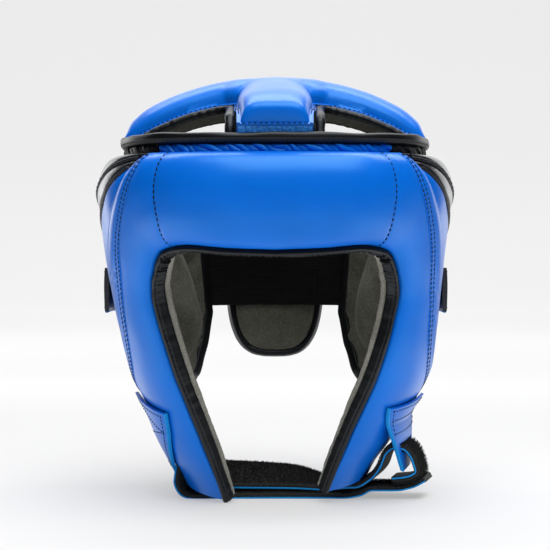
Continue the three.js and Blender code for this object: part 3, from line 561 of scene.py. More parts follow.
# Angle, height of the top edge
RIM = np.array([(0, 199), (36.5, 199), (95, 197), (REAR_EDGE, 191)])
# Share of the way to the rear edge, height of the bottom edge, of the lower cord and of the upper cord
SIDE = np.array([
    (0, 74, 193, 196.6), (0.04, 72, 184.5, 195.2), (0.08, 70, 174.5, 193.2), (0.22, 65, 162.5, 179.5),
    (0.38, 63, 151, 170), (0.62, 62, 134, 158), (0.82, 68, 123, 150.5), (0.94, 84, 118, 148),
    (1, 104, 117, 147),
])
# Height, thickness
SIDE_FULL = np.array([
    (60, 21), (76, 20.5), (94, 20), (106, 20.5), (133, 21), (165, 22), (182, 25), (200, 25.5),
])
SIDE_EDGE = {"rear": 8, "top": 11, "bottom": 9}
SIDE_THINS = 0.42
SIDES = {"left": -1, "right": 1}
black_leather = leather("black_leather", (0.005, 0.0055, 0.008), (0.010, 0.011, 0.015), 0.25, 0.00005, 1.0,
                        (0.9, 0.95, 1.0))
black_cord = leather("black_cord", (0.002, 0.0028, 0.006), (0.004, 0.006, 0.013), 0.5, 0.0001, 0.3)
edge_stations = np.linspace(2, 7, 500)
SEAM = np.stack([curve(ARCH, 4, edge_stations), curve(ARCH, 3, edge_stations), edge_stations], -1)[::-1]


def seam_theta(z):
    return np.interp(z, SEAM[:, 0], SEAM[:, 1])


def side_top(t):
    return curve(RIM, 1, mix(RIM[1, 0], REAR_EDGE, t))


def side_angle(t, z):
    return mix(seam_theta(z) + SEAM_GAP_DEG, REAR_EDGE, t)


def side_thickness(t, z):
    bottom = curve(SIDE, 1, t)
    v = (z - bottom) / (side_top(t) - bottom)
    at_seam = arch_thickness(np.interp(z, SEAM[:, 0], SEAM[:, 2]), 1.0)
    from_seam = mix(at_seam, curve(SIDE_FULL, 1, z), pillow(np.minimum(t * 2, 0.5), 2))
    thinning = np.maximum(0, t - SIDE_THINS) / (1 - SIDE_THINS)
    at_rear = mix(SIDE_EDGE["rear"], from_seam, pillow(0.5 + thinning / 2, 1.8))
    edge = np.where(v > 0.5, SIDE_EDGE["top"], SIDE_EDGE["bottom"])
    return mix(np.minimum(edge, at_rear), at_rear, pillow(v, 5))


def side_surface(side, t, z, more=0.0):
    return skin(side * side_angle(t, z), z, PAD_FLOOR + side_thickness(t, z) + more)


def sweep(name, at, away, out, section, material, closed=False, swell=None):
    """A section of points (away, out) carried along a route; swell scales it about its middle."""
    ring = np.broadcast_to(section, (len(at), *section.shape[-2:]))
    if swell is not None:
        middle = ring.mean(1, keepdims=True)
        ring = middle + (ring - middle) * swell
    rings = at[:, None] + away[:, None] * ring[..., :1] + out[:, None] * ring[..., 1:]
    count, around = rings.shape[:2]
    index = np.arange(count * around).reshape(count, around)
    index = np.concatenate([index, index[:, :1]], 1)
    if closed:
        return piece(name, rings, grid_quads(np.concatenate([index, index[:1]])), material)
    return piece(name, rings, [*grid_quads(index), index[0, :-1], index[-1, :-1]], material)


def along_route(points):
    return unit(np.gradient(points, axis=0))


def oval(wide, high, low=0.0, count=10):
    turn = np.linspace(0, 2 * np.pi, count, endpoint=False)
    return np.stack([wide / 2 * np.cos(turn), low + high / 2 + high / 2 * np.sin(turn)], -1)


def rounded_bar(near, far, low, high, radius, steps=5, between=0):
    """A bar as a section, with all four of its edges rounded, and with points between them on its sides."""
    radius = min(radius, (far - near) / 2.05, (high - low) / 2.05)
    corners = [(far - radius, low + radius, -90), (far - radius, high - radius, 0),
               (near + radius, high - radius, 90), (near + radius, low + radius, 180)]
    turn = np.radians(np.linspace(0, 90, steps))
    arcs = [((a, o), turn + math.radians(first)) for a, o, first in corners]
    points = np.concatenate([at + radius * np.stack([np.cos(arc), np.sin(arc)], -1) for at, arc in arcs])
    ends = np.roll(points, -1, axis=0)
    fill = np.where(np.linalg.norm(ends - points, axis=1) > 2 * radius / steps, between, 0)
    sides = zip(points, ends, fill)
    return np.concatenate([mix(a, b, np.arange(n + 1)[:, None] / (n + 1)) for a, b, n in sides])


# Finish, slot and rows of each panel, from the bottom one up; column of SIDE that each cord follows
PANELS = {
    "panel": (blue_leather, "blue_leather", 60),
    "stripe": (black_leather, "black_leather", 22),
    "cap": (black_leather, "black_leather", 30),
}
CORDS = {"lower": 2, "upper": 3}
CORD = {"wide": 2.2, "high": 2.4, "sunk": 0.6, "stitches": 2.2}
TAPE = {"half": 2.0, "low": -1.2, "high": 0.75, "round": 0.5, "stitches": 1.5}
for name, side in SIDES.items():
    for k, (part, (cover, slot, rows)) in enumerate(PANELS.items()):
        t, v = lattice(mix(SEAM_START, 1, close_to_ends(72)), close_to_ends(rows))
        lower = curve(SIDE, k + 1, t) + (PANEL_GAP / 2 if part != "panel" else 0)
        upper = curve(SIDE, k + 2, t) - PANEL_GAP / 2 if part != "cap" else side_top(t)
        z = mix(lower, upper, v)
        from_lower = z - lower if part != "panel" else np.inf
        from_upper = upper - z if part != "cap" else np.inf
        sewn = np.minimum(from_lower, from_upper)
        plain = side_surface(side, t, z)
        relief = 0.4 * rumple(plain, 40, 6) + 0.15 * rumple(plain, 12, 7)
        relief -= 1.3 * np.exp(-((sewn / 2.2) ** 2))
        pad = shell(f"side_{part}_leather_{name}", side_surface(side, t, z, relief),
                    skin(side * side_angle(t, z), z, PAD_FLOOR + 0 * z), cover)
        settle(pad, slot, f"side_{part}_{name}")
    stitched = []
    for cord, k in CORDS.items():
        t = np.linspace(0.01, 0.995, 160)
        z = curve(SIDE, k, t)
        theta = side * side_angle(t, z)
        at = side_surface(side, t, z, -CORD["sunk"])
        out = outward(theta, z)
        away = np.cross(out, along_route(at))
        twist = 1 + 0.12 * np.sin(np.arange(len(t)) * 1.9)[:, None, None]
        section = oval(CORD["wide"], CORD["high"], -CORD["high"] / 2)
        made = sweep(f"side_{cord}_cord_{name}", at, away, out, section, black_cord, swell=twist)
        settle(made, "black_leather")
        stitched += [at + away * shift - out * 0.3 for shift in (-CORD["stitches"], CORD["stitches"])]
    sew(f"side_cord_stitches_{name}", stitched, black_thread, "black_leather",
        pitch=3.0, length=2.2, thick=0.5)
    at = front_surface(side * seam_stations, seam_share)
    ahead = front_surface(side * (seam_stations + 0.02), seam_share) - at
    outer = front_surface(side * seam_stations, seam_share + 0.02) - at
    out = side * unit(np.cross(ahead, outer))
    at = at - out
    away = np.cross(out, along_route(at))
    section = rounded_bar(-TAPE["half"], TAPE["half"], TAPE["low"], TAPE["high"], TAPE["round"])
    tape = sweep(f"side_seam_tape_{name}", at, away, out, section, blue_leather)
    settle(tape, "blue_leather")
    rows = [at + away * shift + out * 0.7 for shift in (-TAPE["stitches"], TAPE["stitches"])]
    sew(f"side_seam_stitches_{name}", rows, black_thread, "blue_leather", pitch=2.9, length=2.4, thick=0.85)

# Side linings: suede on the inside of each side pad, stuffed beside the ear and cheekbone into a soft
# cushion that fills the hollow behind the cheek.
EAR_CUSHION = {"theta": 83, "z": 98, "depth": 25, "ahead": 21, "behind": 34, "above": 78, "below": 30}


def fall(away, low, high):
    return np.exp(-((away / np.where(away < 0, low, high)) ** 2))


def swell_cloth(made, held, pressure, most, frames=20):
    """Swells a stuffed piece as cloth under pressure, held along its seams, up to a given distance."""
    group = made.vertex_groups.new(name="sewn")
    group.add([int(v) for v in held], 1.0, "REPLACE")
    before = np.array([v.co for v in made.data.vertices])
    cloth = made.modifiers.new("cloth", "CLOTH")
    cloth.settings.quality = 6
    cloth.settings.mass = 0.2
    cloth.settings.tension_stiffness = cloth.settings.compression_stiffness = 12
    cloth.settings.bending_stiffness = 0.4
    cloth.settings.use_pressure = True
    cloth.settings.uniform_pressure_force = pressure
    cloth.settings.vertex_group_mass = "sewn"
    cloth.settings.effector_weights.gravity = 0
    cloth.settings.shrink_min = -0.03
    cloth.collision_settings.use_collision = False
    cloth.point_cache.frame_end = frames
    for step in range(1, frames + 1):
        scene.frame_set(step)
    shape = made.evaluated_get(bpy.context.evaluated_depsgraph_get())
    move = np.array([v.co for v in shape.data.vertices]) - before
    scene.frame_set(1)
    made.modifiers.remove(cloth)
    made.vertex_groups.remove(group)
    far = np.linalg.norm(move, axis=1, keepdims=True)
    after = before + move * np.minimum(1, most * MM / np.maximum(far, 1e-9))
    made.data.vertices.foreach_set("co", after.reshape(-1))
    made.data.update()


for name, side in SIDES.items():
    t, v = lattice(np.linspace(0, 1, 64), np.linspace(0, 1, 60))
    z = mix(curve(SIDE, 1, t), side_top(t), v)
    theta = side_angle(t, z)
    round_ear = fall(theta - EAR_CUSHION["theta"], EAR_CUSHION["ahead"], EAR_CUSHION["behind"])
    up_ear = fall(z - EAR_CUSHION["z"], EAR_CUSHION["below"], EAR_CUSHION["above"])
    depth = EAR_CUSHION["depth"] * round_ear * up_ear
    depth = depth * pillow(v, 4) * pillow(np.minimum(0.5, t * 1.6), 2)
    inner = skin(side * theta, z, -depth)
    depth = depth + 0.7 * rumple(inner, 17, 8) * pillow(v, 6) * pillow(t, 6)
    back = skin(side * theta, z, LINING + 0 * z)
    lining = shell(f"ear_cushion_{name}", back, skin(side * theta, z, -depth), grey_suede)
    border = np.ones(t.shape, bool)
    border[2:-2, 2:-2] = False
    held = np.concatenate([np.arange(t.size), t.size + np.flatnonzero(border)])
    swell_cloth(lining, held, 1.2, 2.5)
    settle(lining, "suede_lining", f"side_lining_{name}")

# Gathered strips: thin leather drawn up on a thread between the pads and the rolled edge above them, so that
# it puffs out in small slanting pleats. Blue over the brow, black at the sides.
GATHERS = {"height": 3.6, "inner": 0.3, "lift": 11.0, "depth": 1.8, "gap": 0.6, "pitch": 5.0, "slant": 1.0}
RIM_SEAM = RIM[1, 0]
RIM_END = REAR_EDGE - 0.5


def rim_height(theta):
    return curve(RIM, 1, np.abs(theta))


def waver(at, *line):
    """Smooth unevenness along a run of places, between about -1 and 1."""
    return np.array([noise.noise(Vector((x, *line))) for x in at])


def gathered(name, start, end, cover, slot, target):
    """A strip between two angles, in pleats that differ in fullness."""
    path = hollow(np.linspace(start, end, 200), np.full(200, 203.0))
    length = np.linalg.norm(np.diff(path, axis=0), axis=1).sum()
    pleats = int(length / GATHERS["pitch"])
    theta, v = lattice(np.linspace(start, end, pleats * 14 + 1), np.linspace(0, 1, 15))
    run = (theta - start) / (end - start) * pleats
    wander = 0.9 * waver(0.6 * run[:, 0], 1.3, 7.7)[:, None]
    phase = run + wander + GATHERS["slant"] * v * np.sign(end - start)
    pleat = np.floor(phase)
    full = 0.7 + 0.3 * np.sin(pleat * 2.4)
    sunk = GATHERS["depth"] * (1 - full * pillow(phase - pleat, 2.2))
    lift = GATHERS["lift"] - sunk - 0.9 * (1 - pillow(v, 3))
    z = rim_height(theta) + GATHERS["gap"] + mix(-0.12, 1.12, v) * GATHERS["height"]
    made = shell(name, skin(theta, z, lift), skin(theta, z, GATHERS["inner"] + 0 * z), cover)
    return settle(made, slot, target)


gathered("brow_gathers", -RIM_SEAM, RIM_SEAM, blue_leather, "blue_leather", "gathers_front")
for name, side in SIDES.items():
    start = side * (RIM_SEAM + GATHERS["gap"])
    gathered(f"side_gathers_{name}", start, side * RIM_END, black_cord, "black_leather", f"gathers_{name}")

# Rolled edge: black binding leather folded over the top of the gathered strips and sewn through below the
# fold.
RIM_BINDING = {"height": 5.6, "inner": 0.3, "outer": 13, "round": 2.6, "seam": 1.5}
binding_leather = leather("binding_leather", (0.0024, 0.0026, 0.0032), (0.0050, 0.0054, 0.0062), 0.38,
                          0.00007, 0.3, (0.85, 0.92, 1.0))
theta = np.linspace(-RIM_END, RIM_END, 400)
wave = 0.55 * np.sin(np.radians(theta) * 9.0 + 0.6) + 0.35 * np.sin(np.radians(theta) * 21.0 + 2.0)
z = rim_height(theta) + GATHERS["height"] + 2 * GATHERS["gap"]
up = np.tile((0.0, 0.0, 1.0), (len(theta), 1))
section = rounded_bar(0, RIM_BINDING["height"], RIM_BINDING["inner"], RIM_BINDING["outer"],
                      RIM_BINDING["round"], 6)
fold = np.broadcast_to(section, (len(theta), *section.shape)).copy()
groove = np.exp(-(((section[:, 0] - RIM_BINDING["seam"]) / 0.45) ** 2)) * (section[:, 1] > 10)
fold[..., 1] += (0.35 * wave)[:, None] * (section[:, 1] > 8) - 0.55 * groove
fold[..., 0] += (0.5 * (wave + 0.9))[:, None] * (section[:, 0] > 3)
rim_roll = sweep("rolled_edge", hollow(theta, z), up, outward(theta, z), fold, binding_leather)
settle(rim_roll, "black_binding", "top_binding")
lift = RIM_BINDING["outer"] - 0.35 + 0.35 * wave[:, None]
row = hollow(theta, z + RIM_BINDING["seam"]) + outward(theta, z) * lift
sew("rolled_edge_stitches", [row], black_thread, "black_binding", pitch=2.8, length=2.1, thick=0.5)

# Bindings of the face opening and of the free rear and lower edges: strips of soft black leather wrapped
# over the raw edges of pad and lining, sewn through, and gathered where they turn a corner.
FACE_BINDING = {"clear": 0.7, "wide": 3.8, "low": 3.6, "high": 11.9, "seam": 1.3}
FREE_EDGE = {
    "clear": 1.1, "wide": 3, "tuck": 3.4, "low": -1.1, "high": 6,
    "rear": 10 / 32, "under": 21 / 32, "seam": 0.14, "cheek": 6.7,
}


def edge_route(theta, z, flip):
    """A route on the hollow, with its directions away from the pad's edge and outwards."""
    at = hollow(theta, z)
    out = outward(theta, z)
    return at, flip * unit(np.cross(np.gradient(at, axis=0), out)), out


s = np.linspace(-ARCH_END, ARCH_END, 640)
theta, z = arch_place(s, 0 * s)
at, away, out = edge_route(theta, z, 1)
far = FACE_BINDING["clear"] + FACE_BINDING["wide"]
seam = FACE_BINDING["high"] - FACE_BINDING["seam"]
section = rounded_bar(FACE_BINDING["clear"] - 0.5, far, FACE_BINDING["low"], FACE_BINDING["high"], 2.2, 6, 9)
wrap = np.broadcast_to(section, (len(s), *section.shape)).copy()
seen = ease(section[:, 0], 2.5, 4.2)
groove = np.exp(-(((section[:, 1] - seam) / 0.5) ** 2)) * seen
corner = np.exp(-(((np.abs(s) - 3.2) / 0.8) ** 2)) + 0.22
pleats = waver(s * 9.5, 3.1, 0.4) + 0.7 * waver(s * 23, 8.1, 2.4)
slack = waver(s * 2.6, 5.5, 1.4)
wrap[..., 0] += (1.1 * corner * pleats + 0.35 * slack)[:, None] * seen - 0.8 * groove
wrap[..., 1] += (0.5 * slack)[:, None] * ease(section[:, 1], 7, 11)
settle(sweep("face_opening_binding", at, away, out, wrap, binding_leather), "black_binding", "face_binding")
row = at + away * (far - 0.55) + out * seam
sew("face_binding_stitches", [row[6:-6]], black_thread, "black_binding", pitch=3.0, length=2.3, thick=0.5)
lip = np.broadcast_to(oval(2.2, 4.2, -0.4, 14) + (2.0, 0.0), (len(s), 14, 2)).copy()
ragged = waver(s * 3.4, 6.6, 3.3) + 0.6 * waver(s * 11, 2.6, 8.3)
lip = mix(lip.mean(1, keepdims=True), lip, mix(1, 0.45, ease(s, 6.0, 7.6))[:, None, None])
lip[..., 1] -= 0.6 * ragged[:, None] * (lip[..., 1] < 1.7)
settle(sweep("brow_and_cheek_lining_lip", at, away, out, lip, pale_suede), "suede_lining")

for name, side in SIDES.items():
    k = np.linspace(0, 1, 361)
    rear, under = FREE_EDGE["rear"], FREE_EDGE["under"]
    t = mix(1, FREE_EDGE["seam"], np.clip((k - rear) / (under - rear), 0, 1))
    station = mix(FREE_EDGE["cheek"], ARCH_END, np.clip((k - under) / (1 - under), 0, 1))
    rear_z = mix(side_top(1.0), curve(SIDE, 1, 1.0), np.clip(k / rear, 0, 1))
    under_z = curve(SIDE, 1, t)
    cheek_theta, cheek_z = arch_place(side * station, 1 + 0 * station)
    legs = [k < rear, k < under]
    theta = np.select(legs, [side * REAR_EDGE, side * side_angle(t, under_z)], cheek_theta)
    z = np.select(legs, [rear_z, under_z], cheek_z)
    at, away, out = edge_route(theta, z, -side)
    far = FREE_EDGE["clear"] + FREE_EDGE["wide"]
    near = FREE_EDGE["clear"] - FREE_EDGE["tuck"]
    section = rounded_bar(near, far, FREE_EDGE["low"], FREE_EDGE["high"], 1.5)
    uneven = 1 + 0.06 * waver(k * 60, side, 5.5)[:, None, None]
    made = sweep(f"free_edge_binding_{name}", at, away, out, section, binding_leather, swell=uneven)
    settle(made, "black_binding", f"edge_binding_{name}")

# Crown: a foam cross over the top of the head, covered in blue leather that is sewn down to a flat margin
# all round, lined with suede, and bound in black round its four openings.
CROWN_APEX = 232
# Spine: place from front to rear, drop. Arm: distance from the middle, drop, half-width, thickness
CROWN_SPINE = np.array([
    (-102, 21.2), (-85, 12.3), (-60, 7.4), (-30, 2.8), (0, 0), (30, 4), (55, 10), (75, 18), (90, 32),
    (99, 47),
])
CROWN_ARM = np.array([
    (0, 0, 34, 11.8), (18, 1.0, 33, 11.8), (28, 2.4, 26, 11.8), (48, 7.2, 23, 11.6), (66, 14.4, 21.5, 11),
    (77, 20.4, 20, 9.4), (84, 23.5, 17.5, 6.2), (87, 24.2, 15, 2),
])
ARM_MIDDLE = 5
ARM_REACH = 87
TRUNK = {"front": -102, "rear": 99, "half": 21}
CROWN_FOAM = 3
CROWN_MARGIN = 2.4
MARGIN_THICK = 2.0
CROWN_DROOP = 3.0
CROWN_FLATTENS = (60, 98)
CROWN_BINDING = {
    "radius": 2.8, "tall": 2.5, "lift": 2.5, "back": 3.8, "short": 4, "reach": 84, "corner": 0.42,
    "turn_ahead": 4.5, "turn_down": 12,
}
CROWN_LINING = {"front": -90, "reach": 73}


def arm_half(x):
    return curve(CROWN_ARM, 2, np.abs(x))


def crown_height(x, y):
    """The underside of the crown: its edges droop beside the openings, and its front end is flat."""
    edge = np.minimum(np.abs(y - ARM_MIDDLE) / arm_half(x), np.abs(x) / TRUNK["half"])
    fall_away = curve(CROWN_ARM, 1, np.abs(x)) + CROWN_DROOP * np.clip(edge, 0, 1) ** 4
    return CROWN_APEX - fall_away * (1 - ease(-y, *CROWN_FLATTENS)) - curve(CROWN_SPINE, 1, y)


def crown_out(x, y):
    step = 0.5
    slope_x = (crown_height(x + step, y) - crown_height(x - step, y)) / (2 * step)
    slope_y = (crown_height(x, y + step) - crown_height(x, y - step)) / (2 * step)
    return unit(np.stack([-slope_x, -slope_y, 1 + 0 * slope_x], -1))


def crown_skin(x, y, lift):
    return np.stack([x, y, crown_height(x, y)], -1) + crown_out(x, y) * np.asarray(lift)[..., None]


def crown_grid(arm, trunk, run, chord, front, reach):
    """Places on the cross, from front to rear and from arm tip to arm tip, and which cells it has."""
    right = mix(TRUNK["half"], reach, close_to_ends(arm + 1))
    across_trunk = mix(-TRUNK["half"], TRUNK["half"], close_to_ends(trunk + 1))
    left = -mix(TRUNK["half"], reach, 1 - close_to_ends(arm + 1))
    column = np.concatenate([left[:-1], across_trunk, right[1:]])
    share_front = close_to_ends(run + 1)[:-1]
    share_rear = close_to_ends(run + 1)[1:]
    half = arm_half(column)
    rows = [
        mix(front, ARM_MIDDLE - half[None], share_front[:, None]),
        ARM_MIDDLE + mix(-half[None], half[None], close_to_ends(chord + 1)[:, None]),
        mix(ARM_MIDDLE + half[None], TRUNK["rear"], share_rear[:, None]),
    ]
    y = np.concatenate(rows)
    x = np.broadcast_to(column, y.shape)
    i, j = lattice(np.arange(y.shape[0] - 1), np.arange(y.shape[1] - 1))
    kept = ((i >= run) & (i < run + chord)) | ((j >= arm) & (j < arm + trunk))
    return x, y, kept


def cut_shell(name, outer, inner, kept, material):
    """A closed skin like shell, with only the cells that are kept."""
    rows, columns = outer.shape[:2]
    index = np.arange(rows * columns).reshape(rows, columns)
    cells = grid_quads(index)[kept.reshape(-1)]
    edges = dict.fromkeys((a, b) for quad in cells for a, b in zip(quad, np.roll(quad, -1)))
    wall = [(b, a, a + index.size, b + index.size) for a, b in edges if (b, a) not in edges]
    faces = [*cells, *(cells + index.size)[:, ::-1], *wall]
    used = np.unique(np.concatenate([np.ravel(f) for f in faces]))
    renumber = np.zeros(2 * index.size, int)
    renumber[used] = np.arange(len(used))
    points = np.concatenate([outer.reshape(-1, 3), inner.reshape(-1, 3)])[used]
    return piece(name, points, [renumber[np.asarray(f)] for f in faces], material)


def crown_thickness(x, y):
    """Flat margins, then one full roll away from every edge of the cross and over its two ends."""
    def roll(inside, half, fullness):
        return pillow(np.clip((inside - CROWN_MARGIN) / (2 * (half - CROWN_MARGIN)), 0, 0.5), fullness)

    in_trunk = TRUNK["half"] - np.abs(x)
    in_arm = arm_half(x) - np.abs(y - ARM_MIDDLE)
    in_both = np.minimum(in_trunk, in_arm) > 0
    inside = np.where(in_both, np.hypot(in_trunk, in_arm), np.maximum(in_trunk, in_arm))
    ends = roll(np.minimum(y - TRUNK["front"], TRUNK["rear"] - y), 9, 4)
    swell = roll(inside, TRUNK["half"], mix(4.5, 2.4, ease(y, -90, -45))) * ends
    full = curve(CROWN_ARM, 3, np.abs(x))
    return mix(np.minimum(MARGIN_THICK, full), full, swell)


x, y, kept = crown_grid(34, 34, 36, 34, TRUNK["front"], ARM_REACH)
thick = crown_thickness(x, y)
base = crown_skin(x, y, CROWN_FOAM + 0 * x)
relief = 0.35 * rumple(base, 30, 9) + 0.12 * rumple(base, 10, 10)
crown_top = crown_skin(x, y, CROWN_FOAM + thick + relief * np.clip(thick - MARGIN_THICK, 0, 1))
crown = cut_shell("crown_leather", crown_top, base, kept, blue_leather)
settle(crown, "blue_leather", "crown_pad")

x, y, kept = crown_grid(16, 10, 16, 10, CROWN_LINING["front"], CROWN_LINING["reach"])
under = crown_skin(x, y, 0 * x)
nap = 0.4 * rumple(under, 14, 11)
back = crown_skin(x, y, LINING + 0 * x)
crown_suede = cut_shell("crown_suede", back, crown_skin(x, y, nap - 0.2), kept, grey_suede)
settle(crown_suede, "suede_lining", "crown_lining")

crown_rows = []
for name, side in SIDES.items():
    for end, ahead in {"front": -1, "rear": 1}.items():
        start = CROWN_LINING["front"] if ahead < 0 else TRUNK["rear"] - CROWN_BINDING["short"]
        k = np.linspace(0, 1, 130)
        trunk_edge = TRUNK["half"] + CROWN_BINDING["back"]
        beyond = np.clip((k - CROWN_BINDING["corner"]) / (1 - CROWN_BINDING["corner"]), 0, 1)
        x = mix(trunk_edge, CROWN_BINDING["reach"], beyond)
        arm_edge = ARM_MIDDLE + ahead * (arm_half(x) + CROWN_BINDING["back"])
        turn_y = ARM_MIDDLE + ahead * (arm_half(trunk_edge) + CROWN_BINDING["back"])
        y = np.where(beyond > 0, arm_edge, mix(start, turn_y, k / CROWN_BINDING["corner"]))
        for _ in range(60):
            x[1:-1] = (x[:-2] + x[1:-1] + x[2:]) / 3
            y[1:-1] = (y[:-2] + y[1:-1] + y[2:]) / 3
        at = crown_skin(side * x, y, 0 * x)
        out = crown_out(side * x, y)
        if ahead < 0:
            bend = np.linspace(math.pi / 2, 0, 14)[:-1, None]
            forward = (0, -CROWN_BINDING["turn_ahead"], 0) * np.sin(bend)
            down = (0, 0, CROWN_BINDING["turn_down"]) * (1 - np.cos(bend))
            at = np.concatenate([at[0] + forward - down, at])
            out = np.concatenate([unit(out[0] * np.cos(bend) - (0, 1, 0) * np.sin(bend)), out])
        away = unit(np.cross(along_route(at), out))
        gather = 1 + 0.15 * waver(np.arange(len(at)) * 0.3, side * 2.0, ahead * 3.0)[:, None, None]
        tall = CROWN_BINDING["tall"]
        section = oval(2 * CROWN_BINDING["radius"], 2 * tall, CROWN_BINDING["lift"] - tall, 14)
        made = sweep(f"crown_opening_binding_{end}_{name}", at, away, out, section, binding_leather,
                     swell=gather)
        settle(made, "black_binding", f"crown_binding_{end}_{name}")
        inset = CROWN_BINDING["back"] + 1.3
        row_y = np.where(beyond > 0.02, y - ahead * inset, y)
        row_x = np.where(beyond > 0.02, x, x - inset)
        inside = (beyond > 0.1) | (k < CROWN_BINDING["corner"] * 0.86)
        lift = np.full(len(x), CROWN_FOAM + MARGIN_THICK + 0.1)
        crown_rows.append(crown_skin(side * row_x, row_y, lift)[inside])
cross = np.linspace(-TRUNK["half"] + 1, TRUNK["half"] - 1, 40)
lift = CROWN_FOAM + MARGIN_THICK + 0.15 + 0 * cross
crown_rows.append(crown_skin(cross, TRUNK["front"] + 1.2 + 0 * cross, lift))
# The turned strip under the crown's front end: glossy crinkled blue leather, with lighter flecks that are
# painted glints.
crinkled_leather_painted_glints = leather("crinkled_leather_painted_glints", (0.001, 0.11, 0.52), (0.04, 0.30, 0.85), 0.35, 0.0005, 0.6,
                           cloud=700.0)
across, v = lattice(np.linspace(-TRUNK["half"] + 0.5, TRUNK["half"] - 0.5, 90), np.linspace(0, 1, 8))
top = crown_skin(across, TRUNK["front"] + 0.4 + 0 * across, CROWN_FOAM + 0.6 + 0 * across)
fray = 0.5 * rumple(top, 1.6, 21)
front_turn = top + np.stack([0 * v, 0.8 * v - fray, -4.6 * v], -1)
settle(shell("crown_front_turned_edge", front_turn, front_turn + (0, 1.4, 0), crinkled_leather_painted_glints), "blue_leather")
sew("crown_stitches", crown_rows, black_thread, "blue_leather", pitch=2.9, length=2.2, thick=0.7)

# Crown ends: flat leather tongues that run down inside the brow and the rear pad, where they are sewn.
LEATHER = 2.2
CROWN_TAB_CLEAR = 1.2
# Angle of the middle, half-angle, bottom and top
CROWN_TABS = {"front": (0, 13, 186, 213.5), "rear": (180, 9, 160, 181)}
for end, (middle, half, bottom, top) in CROWN_TABS.items():
    theta, z = lattice(middle + np.linspace(-half, half, 40), np.linspace(bottom, top, 24))
    outer = 0.3 * rumple(hollow(theta, z), 9, 12) - CROWN_TAB_CLEAR
    made = shell(f"crown_end_{end}", skin(theta, z, outer), skin(theta, z, outer - LEATHER), blue_leather)
    settle(made, "blue_leather", f"crown_tab_{end}")

# Rear: a wide ribbed elastic between the side pads, and outside it a padded flap of blue leather, lined with
# suede and bound in black.
ELASTIC = {"end": 154, "join": 165.2, "bottom": 108, "top": 157, "lift": 0.8, "thick": 1.8, "rib": 1.5,
           "relief": 0.16}
REAR_PAD = {"half": 25.5, "bottom": 80, "top": 166, "lift": 3.2, "edge": 6, "puff": 11.2, "corner": 3.4}
REAR_BINDING = {"clear": 0.5, "wide": 3.2, "proud": 1}
REAR_FOAM = REAR_PAD["lift"] + LINING + 0.4
REAR_MIDDLE = (REAR_PAD["bottom"] + REAR_PAD["top"]) / 2
REAR_RADIUS = curve(HOLLOW, 3, REAR_MIDDLE)


def cloth(name, dark, light, rough, fuzz, scale):
    """Woven or pile fabric: two close colours, fine thread relief and a soft sheen at grazing angles."""
    material, tree, shader = finish_material(name, Roughness=rough, Specular_IOR_Level=0.2,
                                             Sheen_Weight=fuzz, Sheen_Roughness=0.4)
    where = object_place(tree)
    threads = node(tree, "ShaderNodeTexNoise", Vector=where, Scale=scale, Detail=3.0).outputs["Fac"]
    bump = node(tree, "ShaderNodeBump", Height=threads, Strength=0.7, Distance=0.0003)
    color = two_tone(tree, threads, dark, light, 0.35, 0.7)
    finish_with(tree, shader, Base_Color=color, Normal=bump.outputs["Normal"])
    return material


black_elastic = cloth("ribbed_elastic", (0.0018, 0.002, 0.002), (0.005, 0.0055, 0.0052), 0.85, 0.02, 1800.0)
ribs = int((ELASTIC["top"] - ELASTIC["bottom"]) / ELASTIC["rib"])
theta, v = lattice(np.linspace(ELASTIC["end"], 360 - ELASTIC["end"], 60), np.linspace(0, 1, ribs * 6 + 1))
z = mix(ELASTIC["bottom"], ELASTIC["top"], v)
inner = ELASTIC["lift"] + ELASTIC["relief"] * np.cos(2 * np.pi * ribs * v)
outer = skin(theta, z, inner + ELASTIC["thick"])
elastic = shell("rear_elastic_band", outer, skin(theta, z, inner), black_elastic)
settle(elastic, "black_elastic", "rear_elastic")
z = np.linspace(ELASTIC["bottom"] + 1, ELASTIC["top"] - 1, 40)
row = skin(ELASTIC["join"] + 0 * z, z, ELASTIC["lift"] - 0.1 + 0 * z)
sew("elastic_stitches", [row], black_thread, "black_elastic", pitch=3.0, length=2.2, thick=0.6)


def rear_place(across, up, grow=0.0):
    """Angle and height of a place on the flap, whose corners are round."""
    reach = np.maximum(np.abs(across), np.abs(up))
    power = np.abs(across) ** REAR_PAD["corner"] + np.abs(up) ** REAR_PAD["corner"]
    draw = np.where(reach > 0, reach / np.maximum(power, 1e-12) ** (1 / REAR_PAD["corner"]), 0)
    high = (REAR_PAD["top"] - REAR_PAD["bottom"]) / 2
    theta = 180 - np.degrees((REAR_PAD["half"] + grow) * across * draw / REAR_RADIUS)
    return theta, REAR_MIDDLE + (high + grow) * up * draw


across, up = lattice(2 * close_to_ends(50) - 1, 2 * close_to_ends(60) - 1)
theta, z = rear_place(across, up)
reach = np.maximum(np.abs(across), np.abs(up))
swell = REAR_FOAM + REAR_PAD["edge"] + (REAR_PAD["puff"] - 1.5) * np.sqrt(1 - np.clip(reach, 0, 1) ** 2.4)
base = skin(theta, z, REAR_FOAM + 0 * z)
flap = shell("rear_flap_leather", skin(theta, z, swell + 0.3 * rumple(base, 22, 13)), base, blue_leather)
held = np.concatenate([np.flatnonzero(reach > 0.97), across.size + np.arange(across.size)])
swell_cloth(flap, held, 1.5, 1.6)
settle(flap, "blue_leather", "rear_pad")
soft = 0.9 * pillow((1 - reach) / 2, 2) + 0.3 * rumple(base, 15, 14)
back = skin(theta, z, REAR_PAD["lift"] + LINING + 0 * z)
flap_suede = shell("rear_flap_suede", back, skin(theta, z, REAR_PAD["lift"] - soft), grey_suede)
settle(flap_suede, "suede_lining", "rear_lining")
k = np.linspace(0, 4, 240, endpoint=False)
along = 2 * (k % 1) - 1
leg = np.floor(k).astype(int)
across = np.choose(leg, [1 + 0 * k, -along, -1 + 0 * k, along])
up = np.choose(leg, [along, 1 + 0 * k, -along, -1 + 0 * k])
theta, z = rear_place(across, up)
at = hollow(theta, z)
out = outward(theta, z)
